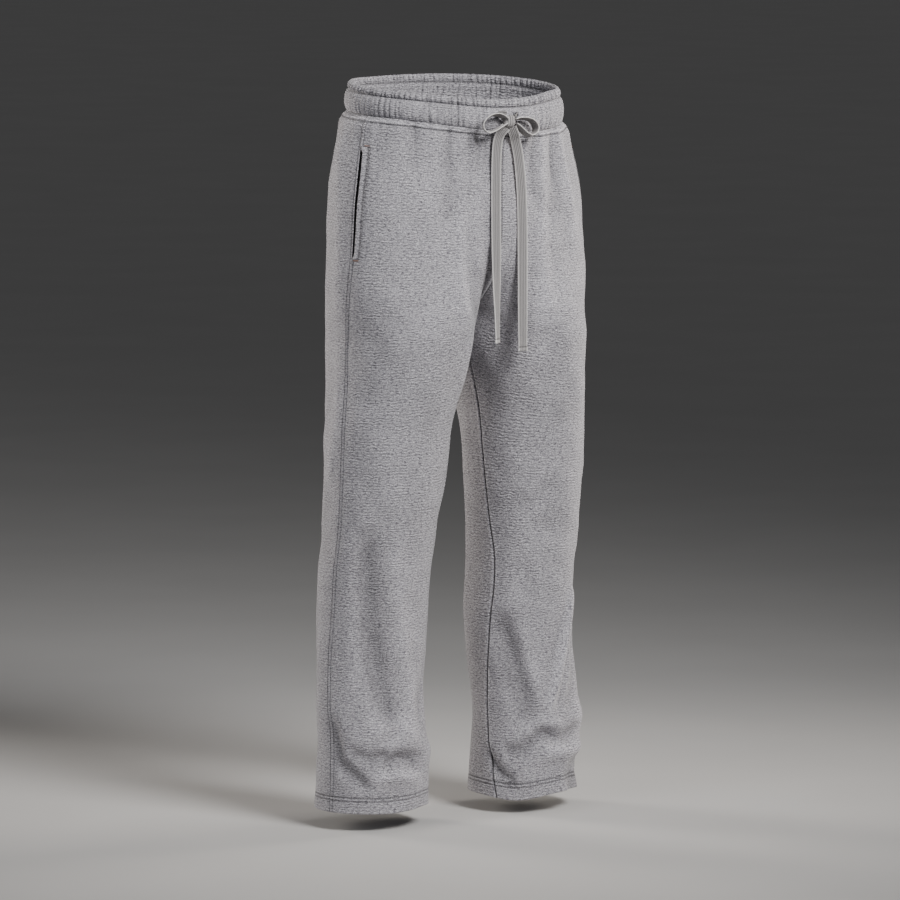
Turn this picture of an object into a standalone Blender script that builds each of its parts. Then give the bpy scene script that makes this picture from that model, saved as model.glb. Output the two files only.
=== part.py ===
"""Wide-leg sweatpants, worn hollow: fleece trousers with a gathered elastic waistband and a flat drawstring.

Metres, +Z up.  The front faces -Y and the wearer's right side is at -X.  The origin is the centre of the
waistband's ring, half way up it, where the wearer's waist holds the garment up.

A place on the cloth is given by two numbers.  "girth" runs over one half of the garment: 0 at the centre front
seam and, below the crotch, at the inseam; 0.5 at the side seam; 1 at the centre back seam and the inseam again.
"drop" is the distance below the origin, measured at the side seam.
"""

import math

import bmesh
import bpy
import numpy as np

MM = 0.001
RIGHT, LEFT = -1, 1
SIDES = {"right": RIGHT, "left": LEFT}

# Cloth
FLEECE = 2.0 * MM
HEM_FOLD = 4.0 * MM
HEM_HEIGHT = 21 * MM
SEAM_GAP = 0.3 * MM

# Waistband
BAND_BOTTOM = -22.7 * MM
BAND_HEIGHT = 47.7 * MM
BAND_HALF_WIDTH = 168.0 * MM
BAND_HALF_DEPTH = 126.0 * MM
BAND_TILT = math.tan(math.radians(5.4))
TILT_ENDS_AT = 200 * MM
GATHERS = 88
GATHER_DEPTH = 2.0 * MM
PLAIN_FRONT = 30 * MM

# Legs
OUTSEAM = 1010 * MM
CROTCH_DROP = 335 * MM
LEG_FULLNESS = 2.15

# Pockets, in the side seams: a welt on the front panel's edge and a bag behind it
POCKET_FROM = 55
POCKET_TO = 212
WELT_FROM_ACROSS = 0.955
WELT_THICKNESS = 1.5 * MM
WELT_GAP = 0.4 * MM
BAG_GAP = 0.4 * MM
BAG_FROM_ACROSS = 0.5
BAG_TO = 286
BAG_THICKNESS = 1.2 * MM

# Eyelets and drawstring
EYELET_OFFSET = 16 * MM
EYELET_Z = -8.0 * MM
EYELET_RADIUS = 3.8 * MM
EYELET_RIM = 1.0 * MM
TAPE_WIDTH = 14.5 * MM
TAPE_THICKNESS = 1.5 * MM
LEAD_WIDTH = 7 * MM
KNOT_CENTRE = (0, -136.2 * MM, -17 * MM)
KNOT_HALF_SIZE = (6.0 * MM, 5.8 * MM, 9.0 * MM)


def table(columns, rows):
    """The named columns of a short table, each as an array."""
    return dict(zip(columns.split(), np.array(rows, float).T))


# Half sizes of the seat's sections, in millimetres: from the centre to the side, front and back.
SEAT = table(
    "drop half_width front back front_fullness back_fullness",
    [
        (23, 166.5, 124, 124, 2.04, 2.0),
        (31, 176, 122, 127, 2.11, 2.05),
        (50, 182.5, 120, 130, 2.18, 2.1),
        (80, 190, 118, 133, 2.26, 2.1),
        (110, 195, 117.5, 135, 2.41, 2.1),
        (140, 199, 117.5, 136, 2.51, 2.1),
        (170, 200, 118, 136, 2.56, 2.1),
        (200, 201, 118.5, 135, 2.61, 2.1),
        (260, 203.5, 122, 132, 2.64, 2.1),
        (335, 203.5, 125, 127, 2.59, 2.1),
    ],
)

# Sections of a leg, in millimetres: its centre from the middle plane, and the reach of the section from there.
LEG = table(
    "drop centre_x centre_y inner outer front back",
    [
        (150, 97, 0, 97, 101, 126, 137),
        (335, 101, 0, 101, 93.5, 127, 114),
        (400, 110, 0, 99.5, 87.5, 113, 105),
        (460, 117, 0, 87.5, 87, 99, 94),
        (500, 120, 0, 86.5, 86.5, 92.5, 89),
        (550, 123, 3, 84, 84.5, 87, 84),
        (600, 126, 8, 82, 82, 81, 81),
        (650, 129, 14, 80, 81, 78.5, 79),
        (700, 130, 19, 80, 80, 76.5, 77),
        (750, 130, 23, 80, 79.5, 76, 75.5),
        (800, 133, 23, 79, 78.5, 74.5, 74.5),
        (850, 136, 19, 77.5, 78.5, 73.5, 73),
        (900, 137, 14, 79, 78, 74, 73),
        (950, 136, 12, 80.5, 80, 76, 75),
        (1010, 136, 16, 81.5, 81, 79, 78),
    ],
)

# How the seat turns into legs: the drop of a row at the centre seam, and its share of leg section.
RISE = table(
    "drop inner_drop front_share back_share",
    [
        (23, 23, 0.00, 0.00),
        (100, 100, 0.00, 0.00),
        (160, 160, 0.00, 0.00),
        (200, 199, 0.04, 0.00),
        (230, 226, 0.12, 0.03),
        (260, 250, 0.29, 0.12),
        (285, 269, 0.51, 0.30),
        (310, 281, 0.76, 0.58),
        (335, 288, 1.00, 1.00),
        (365, 325, 1.00, 1.00),
        (410, 381, 1.00, 1.00),
        (470, 455, 1.00, 1.00),
        (540, 537, 1.00, 1.00),
        (600, 600, 1.00, 1.00),
        (1010, 1010, 1.00, 1.00),
    ],
)

# How far forward of the garment's side and inner leg its seams run, in degrees round the section.
SEAMS = table(
    "drop side_turn inseam_turn",
    [
        (23, 8.5, 10),
        (120, 9.5, 10),
        (200, 9, 10),
        (335, 6.5, 14),
        (400, 8, 14),
        (460, 9.5, 12.5),
        (540, 10.5, 15),
        (600, 12, 19.5),
        (660, 11.5, 26),
        (700, 11.5, 26.5),
        (780, 9, 21),
        (880, 7.5, 10.5),
        (950, 9, 14),
        (1010, 11, 26),
    ],
)

# Half the way round the garment, for measuring folds along the cloth.
HALF_GIRTH = table(
    "drop length",
    [
        (23, 465),
        (110, 520),
        (200, 555),
        (335, 640),
        (460, 575),
        (600, 515),
        (1010, 480),
    ],
)

# Columns across a panel, the last one as wide as a pocket welt, and rows down it by drop: close at the band, at
# the crotch and over the break of the leg.
PANEL_ACROSS = (*np.linspace(0, WELT_FROM_ACROSS, 14), 1)
ROW_DROPS = (
    23.4, 30.5, 33, POCKET_FROM, 85, 120, 165, POCKET_TO, 236, 262, BAG_TO, 310, 335, 365, 410, 465,
    530, 595, 655, 710, 760, 805, 845, 875, 900, 920, 935, 955, 973, 988, 989.5, 1010,
)  # fmt: skip

# The largest folds, each along three places on the cloth: girth and drop, then its height (troughs are negative)
# and half width.  Drops, heights and half widths are in millimetres.
FOLDS = table(
    "side girth_1 drop_1 girth_2 drop_2 girth_3 drop_3 height half_width",
    [
        # right leg, front: under the band
        (RIGHT, 0.350, 20, 0.348, 50, 0.346, 90, -3.0, 12),
        (RIGHT, 0.236, 20, 0.234, 90, 0.237, 170, -3.0, 12),
        (RIGHT, 0.154, 20, 0.150, 60, 0.150, 100, -2.5, 12),
        (RIGHT, 0.105, 20, 0.100, 55, 0.102, 90, -2.0, 12),
        (RIGHT, 0.430, 20, 0.428, 55, 0.430, 100, -2.0, 12),
        (RIGHT, 0.183, 110, 0.200, 270, 0.120, 440, 3.5, 16),
        (RIGHT, 0.062, 190, 0.058, 250, 0.062, 300, -3.0, 12),
        # right leg, front: shin, break and hem
        (RIGHT, 0.375, 590, 0.330, 729, 0.268, 865, -5.0, 24),
        (RIGHT, 0.105, 820, 0.150, 870, 0.188, 900, -3.5, 14),
        (RIGHT, 0.380, 890, 0.270, 886, 0.150, 896, 5.0, 18),
        (RIGHT, 0.440, 918, 0.350, 931, 0.290, 922, -5.0, 13),
        (RIGHT, 0.310, 924, 0.255, 914, 0.090, 932, -6.0, 13),
        (RIGHT, 0.380, 952, 0.270, 944, 0.120, 956, 3.5, 14),
        (RIGHT, -0.060, 925, 0.030, 928, 0.110, 922, 5.0, 16),
        (RIGHT, 0.490, 850, 0.450, 925, 0.325, 974, -5.0, 13),
        # right leg, side and back
        (RIGHT, 0.580, 22, 0.545, 160, 0.530, 330, 3.0, 12),
        (RIGHT, 0.528, 330, 0.530, 450, 0.555, 540, 2.5, 12),
        (RIGHT, 0.560, 540, 0.570, 600, 0.560, 660, -3.0, 20),
        (RIGHT, 0.640, 20, 0.645, 60, 0.640, 115, -3.0, 12),
        (RIGHT, 0.715, 20, 0.712, 80, 0.722, 150, -3.5, 12),
        (RIGHT, 0.795, 20, 0.800, 55, 0.798, 100, -3.0, 12),
        (RIGHT, 0.885, 20, 0.880, 70, 0.890, 140, -3.0, 12),
        (RIGHT, 0.955, 20, 0.955, 50, 0.950, 85, -2.5, 12),
        (RIGHT, 0.690, 318, 0.800, 345, 0.900, 330, -5.0, 18),
        (RIGHT, 0.640, 560, 0.740, 590, 0.880, 575, -5.0, 15),
        (RIGHT, 0.620, 630, 0.730, 650, 0.860, 640, -4.0, 14),
        (RIGHT, 0.760, 700, 0.720, 790, 0.700, 880, -4.0, 18),
        (RIGHT, 0.600, 893, 0.720, 888, 0.850, 896, 4.5, 17),
        (RIGHT, 0.590, 928, 0.710, 918, 0.860, 927, -6.0, 13),
        # left leg, front: under the band
        (LEFT, 0.100, 20, 0.098, 60, 0.100, 110, -2.0, 12),
        (LEFT, 0.165, 20, 0.160, 70, 0.158, 130, -2.5, 12),
        (LEFT, 0.221, 20, 0.215, 100, 0.208, 190, 3.0, 12),
        (LEFT, 0.262, 20, 0.268, 80, 0.280, 160, -3.0, 12),
        (LEFT, 0.300, 20, 0.330, 110, 0.350, 215, 4.0, 13),
        (LEFT, 0.395, 20, 0.400, 70, 0.410, 130, -2.5, 12),
        (LEFT, 0.190, 140, 0.205, 280, 0.150, 430, 3.0, 18),
        (LEFT, 0.060, 200, 0.056, 255, 0.060, 300, -2.5, 12),
        # left leg, front: knee, break and hem
        (LEFT, 0.400, 650, 0.405, 725, 0.400, 770, -3.0, 20),
        (LEFT, 0.365, 705, 0.300, 800, 0.210, 892, 5.0, 15),
        (LEFT, 0.400, 770, 0.370, 850, 0.300, 890, -4.5, 15),
        (LEFT, 0.020, 730, 0.110, 830, 0.165, 900, -5.0, 17),
        (LEFT, 0.050, 944, 0.117, 940, 0.170, 924, -5.0, 13),
        (LEFT, 0.160, 924, 0.200, 917, 0.265, 931, -6.0, 13),
        (LEFT, 0.255, 930, 0.310, 924, 0.410, 914, -5.0, 13),
        (LEFT, 0.340, 885, 0.410, 905, 0.500, 890, 5.0, 18),
        (LEFT, 0.180, 948, 0.270, 952, 0.420, 944, 5.0, 13),
        (LEFT, 0.300, 978, 0.370, 973, 0.480, 972, -6.0, 13),
        (LEFT, 0.280, 1005, 0.380, 990, 0.500, 985, -8.5, 26),
        (LEFT, 0.000, 945, 0.035, 980, 0.090, 985, -4.0, 13),
        # left leg, side and back
        (LEFT, 0.580, 22, 0.552, 150, 0.540, 300, 3.0, 12),
        (LEFT, 0.545, 560, 0.560, 610, 0.550, 650, -3.0, 18),
        (LEFT, 0.632, 20, 0.628, 70, 0.635, 130, -3.0, 12),
        (LEFT, 0.700, 20, 0.705, 55, 0.700, 95, -3.0, 12),
        (LEFT, 0.775, 20, 0.770, 85, 0.780, 155, -3.5, 12),
        (LEFT, 0.862, 20, 0.865, 60, 0.860, 105, -3.0, 12),
        (LEFT, 0.935, 20, 0.932, 70, 0.940, 130, -3.0, 12),
        (LEFT, 0.700, 325, 0.805, 348, 0.895, 325, -5.0, 18),
        (LEFT, 0.630, 572, 0.750, 598, 0.870, 580, -5.0, 15),
        (LEFT, 0.650, 645, 0.740, 660, 0.850, 645, -3.5, 13),
        (LEFT, 0.700, 690, 0.740, 780, 0.760, 870, -4.0, 18),
        (LEFT, 0.620, 898, 0.730, 890, 0.860, 892, 4.5, 17),
        (LEFT, 0.600, 924, 0.730, 916, 0.870, 930, -6.0, 13),
    ],
)

# Where the hems dip or rise (negative), and over what half width in girth.
HEMS = table(
    "side girth dip half_width",
    [
        (RIGHT, 0.10, -4, 0.09),
        (LEFT, 0.07, 6.5, 0.10),
        (LEFT, 0.30, -3.5, 0.12),
        (LEFT, 0.75, 3, 0.12),
        (RIGHT, 0.70, 3, 0.15),
    ],
)

# How much higher the rim and the waistband's lower seam run than a level oval, in millimetres, by degrees round the
# waist: 0 at the centre front and 90 at the wearer's left.
WAIST = table(
    "angle rim seam",
    [
        (-240, 3.8, 3),
        (-180, 2.8, 5),
        (-150, 3.0, 8),
        (-117, 7.0, 11.5),
        (-92, 8.0, 15.5),
        (-72, 7.8, 17),
        (-57, 7.0, 16),
        (-41, 5.4, 12.5),
        (-25, 3.0, 8.7),
        (-12, 1.0, 5.5),
        (5, 0.8, 2.5),
        (28, 2.5, 0.3),
        (44, 5.5, 0),
        (62, 4.5, 1),
        (90, 3.8, 2),
        (120, 3.8, 3),
        (180, 2.8, 5),
        (240, 4.0, 10),
    ],
)

# The waistband's profile, up its outside, over the top edge and down its inside: height, the half width and
# half depth of its oval there, and how much of the gathers of each channel shows.  Millimetres.
BAND_PROFILE = table(
    "height half_width half_depth top_gathers band_gathers",
    [
        (-22.7, 166.4, 124.9, 0.0, 0.5),
        (-18.0, 169.2, 127.6, 0.0, 0.9),
        (-4.0, 170.2, 129.0, 0.0, 1.0),
        (8.5, 167.4, 127.0, 0.1, 0.9),
        (12.6, 163.6, 123.8, 0.4, 0.3),
        (20.5, 162.6, 123.2, 1.0, 0.0),
        (25.0, 159.4, 120.6, 0.7, 0.0),
        (22.6, 155.8, 117.2, 0.3, 0.0),
        (12.6, 158.8, 119.0, 0.2, 0.1),
        (-22.7, 162.0, 120.4, 0.0, 0.2),
    ],
)

# The tape's stretches from the knot, in millimetres: a point of its middle line and the way its width runs.
STRETCH_COLUMNS = "x y z width_x width_y width_z"
END_RIGHT = table(
    STRETCH_COLUMNS,
    [
        (-2.9, -137.0, -26.9, 0.90, -0.44, 0.30),
        (-8.0, -134.0, -34.0, 0.93, -0.36, 0.10),
        (-11.5, -128.5, -46.0, 0.96, -0.28, 0.00),
        (-12.8, -124.6, -66.0, 0.97, -0.26, 0.00),
        (-13.2, -123.2, -105.0, 0.97, -0.26, 0.00),
        (-13.3, -122.8, -150.0, 0.97, -0.24, 0.00),
        (-13.0, -122.8, -200.0, 0.98, -0.20, 0.00),
        (-12.8, -123.0, -245.0, 0.99, -0.08, 0.00),
        (-12.9, -123.2, -290.0, 0.98, 0.18, 0.00),
        (-13.0, -123.4, -334.0, 0.93, 0.37, 0.00),
    ],
)
END_LEFT = table(
    STRETCH_COLUMNS,
    [
        (3.5, -137.1, -25.7, 0.86, -0.40, 0.40),
        (9.5, -134.0, -34.5, 0.90, -0.36, 0.30),
        (17.0, -127.8, -46.0, 0.94, -0.32, 0.16),
        (24.5, -124.2, -68.0, 0.94, -0.34, 0.06),
        (29.8, -122.8, -102.0, 0.94, -0.34, 0.03),
        (32.6, -122.2, -145.0, 0.94, -0.34, 0.01),
        (33.4, -122.2, -200.0, 0.94, -0.34, 0.00),
        (33.5, -122.4, -260.0, 0.94, -0.34, 0.00),
        (33.4, -122.8, -310.0, 0.95, -0.31, 0.00),
        (33.3, -123.2, -348.0, 0.95, -0.31, 0.00),
    ],
)
LOOP_RIGHT = table(
    STRETCH_COLUMNS,
    [
        (-7.4, -137.5, -13.5, -0.10, -0.92, 0.38),
        (-14.0, -138.6, -9.0, -0.22, -0.90, 0.36),
        (-23.0, -139.0, -6.3, -0.34, -0.88, 0.32),
        (-33.0, -138.4, -7.4, -0.44, -0.86, 0.26),
        (-41.0, -137.4, -12.0, -0.50, -0.85, 0.16),
        (-45.5, -136.4, -19.0, -0.50, -0.86, 0.06),
        (-43.5, -136.0, -26.5, -0.42, -0.90, 0.00),
        (-36.0, -136.0, -30.8, -0.30, -0.95, 0.00),
        (-26.0, -136.8, -28.6, -0.16, -0.98, 0.06),
        (-15.5, -137.6, -23.6, -0.06, -0.98, 0.16),
        (-7.6, -137.6, -20.0, 0.00, -0.96, 0.26),
    ],
)
LOOP_LEFT = table(
    STRETCH_COLUMNS,
    [
        (7.4, -137.5, -14.6, 0.06, -0.95, 0.30),
        (14.0, -138.0, -13.2, 0.06, -0.95, 0.30),
        (24.0, -137.6, -13.2, 0.08, -0.95, 0.28),
        (35.0, -136.4, -15.4, 0.12, -0.95, 0.24),
        (43.5, -134.8, -20.4, 0.16, -0.96, 0.20),
        (47.5, -134.0, -27.2, 0.16, -0.96, 0.20),
        (46.0, -133.6, -34.2, 0.12, -0.96, 0.22),
        (39.0, -133.6, -38.4, 0.06, -0.96, 0.24),
        (30.0, -134.4, -35.6, 0.02, -0.96, 0.26),
        (20.5, -135.8, -29.0, 0.00, -0.96, 0.28),
        (13.0, -137.0, -23.6, 0.00, -0.96, 0.28),
        (7.6, -137.6, -20.6, 0.00, -0.96, 0.28),
    ],
)
LEAD_RIGHT = table(
    STRETCH_COLUMNS,
    [
        (-16.2, -132.6, -5.4, -0.20, -0.25, 0.93),
        (-10.5, -133.6, -4.4, -0.22, -0.25, 0.93),
        (-4.4, -135.3, -5.8, -0.25, -0.25, 0.93),
    ],
)
LEAD_LEFT = table(
    STRETCH_COLUMNS,
    [
        (16.2, -132.2, -6.6, 0.30, -0.25, 0.92),
        (12.5, -134.6, -8.0, 0.35, -0.35, 0.87),
        (8.4, -136.0, -10.2, 0.42, -0.30, 0.86),
    ],
)


def curve_through(knots, values, at):
    """Value of a smooth curve through the knots: cubics with the slopes of their neighbours."""
    slopes = np.gradient(values, knots)
    lower = np.clip(np.searchsorted(knots, at) - 1, 0, len(knots) - 2)
    span = knots[lower + 1] - knots[lower]
    t = np.clip((at - knots[lower]) / span, 0, 1)
    start = values[lower] * (1 + 2 * t) * (1 - t) ** 2 + slopes[lower] * span * t * (1 - t) ** 2
    end = values[lower + 1] * t**2 * (3 - 2 * t) - slopes[lower + 1] * span * t**2 * (1 - t)
    return start + end


def smooth(source, column, drop):
    """A table's column at these drops, on a smooth curve through its rows."""
    return curve_through(source["drop"] * MM, source[column], drop)


def fade(value, start, end):
    """1 at start and 0 at end, on a smooth step."""
    t = np.clip((value - start) / (end - start), 0, 1)
    return 1 - t * t * (3 - 2 * t)


def oval(angle, outer, inner, front, back, fullness):
    """A point of an oval and the way the oval faces there; the angle is 0 to the front, 90 degrees outwards."""
    width = np.where(np.sin(angle) > 0, outer, inner)
    depth = np.where(np.cos(angle) > 0, front, back)
    across = np.abs(np.sin(angle) / width) ** fullness
    along = np.abs(np.cos(angle) / depth) ** fullness
    reach = (across + along) ** (-1 / fullness)
    point = np.stack(np.broadcast_arrays(reach * np.sin(angle), -reach * np.cos(angle)))
    facing = np.stack(np.broadcast_arrays(np.sin(angle) / width**2, -np.cos(angle) / depth**2))
    return point, facing


def section(face, across, drop):
    """Level position and facing on one half of the garment, with x outwards.

    across runs from 0 at the centre seam and inseam to 1 at the side seam, over the face "front" or "back".
    """
    forward = face == "front"
    side_angle = math.pi / 2 - np.radians(smooth(SEAMS, "side_turn", drop))
    inseam_angle = np.radians(smooth(SEAMS, "inseam_turn", drop)) - math.pi / 2
    seat_start = 0 if forward else math.pi
    leg_start = inseam_angle if forward else inseam_angle + 2 * math.pi

    width, front, back = (smooth(SEAT, name, drop) * MM for name in ("half_width", "front", "back"))
    angle = seat_start + across * (side_angle - seat_start)
    fullness = [smooth(SEAT, name + "_fullness", drop) for name in ("front", "back")]
    fullness = np.where(np.cos(angle) > 0, *fullness)
    seat, seat_facing = oval(angle, width, width, front, back, fullness)

    reach = (smooth(LEG, name, drop) * MM for name in ("outer", "inner", "front", "back"))
    leg, leg_facing = oval(leg_start + across * (side_angle - leg_start), *reach, LEG_FULLNESS)
    leg[0] += smooth(LEG, "centre_x", drop) * MM
    leg[1] += smooth(LEG, "centre_y", drop) * MM

    shares = {name: smooth(RISE, name + "_share", drop) for name in ("front", "back")}
    at_side = (shares["front"] + shares["back"]) / 2
    share = shares[face] + (at_side - shares[face]) * across**3
    facing = seat_facing * (1 - share) + leg_facing * share
    return seat * (1 - share) + leg * share, facing / np.linalg.norm(facing, axis=0)


def fold_relief(side, face, across, drop):
    """How far the folds push the cloth outwards."""
    girth = across / 2 if face == "front" else 1 - across / 2
    relief = 0
    for fold in zip(*FOLDS.values()):
        if fold[0] != side:
            continue
        drops = np.array(fold[2:8:2]) * MM
        girths = np.array(fold[1:7:2])
        height, half_width = np.array(fold[7:]) * MM
        turns = (-1, 0, 1) if drops.min() > CROTCH_DROP else (0,)
        half_girth = smooth(HALF_GIRTH, "length", drops[1]) * MM
        for turn in turns:
            places = np.stack([(girths + turn) * half_girth, drops], axis=-1)
            relief = relief + height * ridge(girth * half_girth, drop, places, half_width)
    return relief


def hem_dip(side, face, across, drop):
    """How far down the hem and the cloth over it sag."""
    girth = across / 2 if face == "front" else 1 - across / 2
    dip = 0
    for of_side, middle, depth, half_width in zip(*HEMS.values()):
        if of_side == side:
            away = np.minimum(np.abs(girth - middle), 1 - np.abs(girth - middle))
            dip = dip + depth * MM * np.exp(-((away / half_width) ** 2))
    return dip * fade(OUTSEAM - drop, 0, 90 * MM)


def ridge(width_place, drop, places, half_width):
    """A soft ridge of height 1 along three places, fading to its ends."""
    nearest, along = math.inf, 0
    for leg, (start, end) in enumerate(zip(places, places[1:])):
        run = end - start
        t = ((width_place - start[0]) * run[0] + (drop - start[1]) * run[1]) / (run @ run)
        t = np.clip(t, 0, 1)
        distance = np.hypot(width_place - start[0] - t * run[0], drop - start[1] - t * run[1])
        along = np.where(distance < nearest, (leg + t) / 2, along)
        nearest = np.minimum(nearest, distance)
    return np.exp(-((nearest / half_width) ** 2)) * (1 - (2 * along - 1) ** 4)


def panel_surface(side, face, across, drop):
    """Outer surface of a panel as points of shape (rows, columns, 3), for columns across and rows drop."""
    across = np.asarray(across)[None, :]
    drop = np.asarray(drop)[:, None]
    point, facing = section(face, across, drop)
    (centre_x, _), _ = section(face, 0 * across, drop)
    x, y = point + facing * fold_relief(side, face, across, drop)
    x = x - centre_x * (1 - across) ** 4 * fade(drop, CROTCH_DROP, CROTCH_DROP + 90 * MM)
    row_drop = drop + (smooth(RISE, "inner_drop", drop) * MM - drop) * (1 - across) ** 2
    rise = y * BAND_TILT + waist_rise(np.arctan2(side * x, -y), 0)
    z = -row_drop - hem_dip(side, face, across, drop) + rise * fade(drop, -BAND_BOTTOM, TILT_ENDS_AT)
    return np.stack([side * (np.maximum(x, 0) + SEAM_GAP / 2), y, z], axis=-1)


def unit(vectors):
    return vectors / np.linalg.norm(vectors, axis=-1, keepdims=True)


def waist_rise(angle, share):
    """How much higher than a level oval the waist runs: share is 0 at the waistband's seam and 1 at its rim."""
    seam, rim = (curve_through(WAIST["angle"], WAIST[name], np.degrees(angle)) * MM for name in ("seam", "rim"))
    return seam + (rim - seam) * share


def band_surface(angle, row, relief=0):
    """A ring of the waistband at a row of its profile; the angle is 0 at the centre front."""
    profile = {name: values[row] * MM for name, values in BAND_PROFILE.items()}
    level, _ = oval(angle, *[profile["half_width"]] * 2, *[profile["half_depth"]] * 2, 2)
    x, y = level * (1 + relief / np.linalg.norm(level, axis=0))
    share = (profile["height"] - BAND_BOTTOM) / BAND_HEIGHT
    return np.stack([x, y, profile["height"] + y * BAND_TILT + waist_rise(angle, share)], axis=-1)


def band_gathers():
    """Angles of the waistband's columns and the relief of its gathers there, in the top channel and the band."""
    draw = np.random.default_rng(11)
    middle = np.linspace(-math.pi, math.pi, GATHERS, endpoint=False)
    widths = (1 - 0.22 * np.sin(middle) ** 2) * draw.uniform(0.72, 1.28, GATHERS)
    starts = np.concatenate([[0], np.cumsum(widths / widths.sum())[:-1]]) * 2 * math.pi - math.pi
    widths = widths / widths.sum() * 2 * math.pi
    shape = table("part depth", [(0, -1), (0.36, 0.3), (0.68, 0.42)])
    angles = (starts[:, None] + widths[:, None] * shape["part"]).ravel()
    plain = 1 - fade(np.abs(np.sin(angles)) * BAND_HALF_WIDTH, PLAIN_FRONT, 2 * PLAIN_FRONT)
    plain = np.where(np.cos(angles) > 0, plain, 1)
    relief = []
    for least, most in ((0.45, 0.85), (0.2, 1.15)):
        depth = draw.uniform(least, most, GATHERS)[:, None] * shape["depth"] * GATHER_DEPTH
        relief.append(depth.ravel() * plain)
    return angles, *relief


def material(name, colour, roughness, metallic=0.0):
    made = bpy.data.materials.get(name) or bpy.data.materials.new(name)
    made.use_nodes = True
    shader = made.node_tree.nodes["Principled BSDF"]
    shader.inputs["Base Color"].default_value = (*colour, 1)
    shader.inputs["Roughness"].default_value = roughness
    shader.inputs["Metallic"].default_value = metallic
    made.diffuse_color = (*colour, 1)
    return made


def add_object(name, vertices, faces, finish):
    mesh = bpy.data.meshes.new(name)
    mesh.from_pydata([tuple(v) for v in vertices], [], faces)
    mesh.validate()
    obj = bpy.data.objects.new(name, mesh)
    bpy.data.collections["wide_leg_sweatpants"].objects.link(obj)
    obj.data.materials.append(finish)
    return obj


def cells(surface):
    """Two triangles for each cell of a grid of points, split along the cell's shorter diagonal."""
    rows, columns, _ = surface.shape
    points = surface.reshape(-1, 3)
    made = []
    for r in range(rows - 1):
        for c in range(columns - 1):
            a = r * columns + c
            b, d, e = a + 1, a + columns, a + columns + 1
            if np.linalg.norm(points[a] - points[e]) <= np.linalg.norm(points[b] - points[d]):
                made += [(a, d, e), (a, e, b)]
            else:
                made += [(a, d, b), (b, d, e)]
    return made


def wall(name, outer, inner, finish):
    """A closed wall lofted between two grids of points, with a rim round its border."""
    rows, columns, _ = outer.shape
    count = rows * columns
    faces = cells(outer)
    faces += [tuple(count + corner for corner in reversed(face)) for face in faces]
    border = list(range(columns))
    border += [r * columns + columns - 1 for r in range(1, rows)]
    border += [(rows - 1) * columns + c for c in range(columns - 2, -1, -1)]
    border += [r * columns for r in range(rows - 2, 0, -1)]
    for a, b in zip(border, border[1:] + border[:1]):
        faces.append((a, b, b + count, a + count))
    points = np.concatenate([outer.reshape(-1, 3), inner.reshape(-1, 3)])
    obj = add_object(name, points, faces, finish)
    face_outwards(obj)
    return obj


def face_outwards(obj):
    mesh = bmesh.new()
    mesh.from_mesh(obj.data)
    bmesh.ops.recalc_face_normals(mesh, faces=mesh.faces)
    mesh.to_mesh(obj.data)
    mesh.free()
    obj.data.shade_smooth()


def inwards(side, face, surface):
    """Unit directions into the garment at the points of a panel's outer surface."""
    down = np.gradient(surface, axis=0, edge_order=2)
    along = np.gradient(surface, axis=1, edge_order=2)
    across = np.cross(down, along) if (side == RIGHT) == (face == "front") else np.cross(along, down)
    return unit(across)


def make_panels(fleece):
    drop = np.array(ROW_DROPS) * MM
    thickness = np.where(drop > OUTSEAM - HEM_HEIGHT, HEM_FOLD, FLEECE)[:, None, None]
    across = np.array(PANEL_ACROSS)
    gap = SEAM_GAP / (smooth(HALF_GIRTH, "length", CROTCH_DROP) * MM)
    across[0] += gap
    across[-1] -= gap
    below_crotch = drop >= CROTCH_DROP
    for side_name, side in SIDES.items():
        outer = {face: panel_surface(side, face, across, drop) for face in ("front", "back")}
        inward = {face: inwards(side, face, surface) for face, surface in outer.items()}
        at_side = unit(inward["front"][:, -1] + inward["back"][:, -1])
        at_inseam = unit(inward["front"][:, 0] + inward["back"][:, 0])
        for face in ("front", "back"):
            inward[face][:, -1] = at_side
            inward[face][below_crotch, 0] = at_inseam[below_crotch]
            inner = outer[face] + inward[face] * thickness
            inner[..., 0] = side * np.maximum(side * inner[..., 0], SEAM_GAP / 2)
            wall(f"{face}_{side_name}", outer[face], inner, fleece)


def make_waistband(fleece):
    angles, top_relief, band_relief = band_gathers()
    rings = []
    for row in range(len(BAND_PROFILE["height"])):
        shares = BAND_PROFILE["top_gathers"][row], BAND_PROFILE["band_gathers"][row]
        relief = shares[0] * top_relief + shares[1] * band_relief
        rings.append(band_surface(angles, row, relief))
    rows, columns = len(rings), len(angles)
    faces = []
    for r in range(rows):
        for c in range(columns):
            below, above = r * columns, (r + 1) % rows * columns
            beside = (c + 1) % columns
            faces.append((below + c, below + beside, above + beside, above + c))
    band = add_object("waistband", np.concatenate(rings), faces, fleece)
    face_outwards(band)


def make_pockets(fleece, lining):
    drop, across = np.array(ROW_DROPS), np.array(PANEL_ACROSS)
    welt_rows = (drop >= POCKET_FROM) & (drop <= POCKET_TO)
    bag_rows = (drop >= POCKET_FROM) & (drop <= BAG_TO)
    bag_columns = across > BAG_FROM_ACROSS
    for side_name, side in SIDES.items():
        panel = panel_surface(side, "front", across, drop * MM)
        inward = inwards(side, "front", panel)
        welt = []
        for height in (WELT_GAP, WELT_GAP + WELT_THICKNESS):
            raised = (panel - inward * height)[welt_rows]
            welt.append(between(raised[:, -2:], np.array([0.02, 0.97])))
        wall(f"pocket_welt_{side_name}", welt[1], welt[0], fleece)
        bag = []
        for depth in (FLEECE + BAG_GAP, FLEECE + BAG_GAP + BAG_THICKNESS):
            sunk = (panel + inward * depth)[bag_rows][:, bag_columns]
            sunk[:, -1:] = between(sunk[:, -2:], np.array([0.88]))
            bag.append(sunk)
        wall(f"pocket_bag_{side_name}", bag[0], bag[1], lining)


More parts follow.
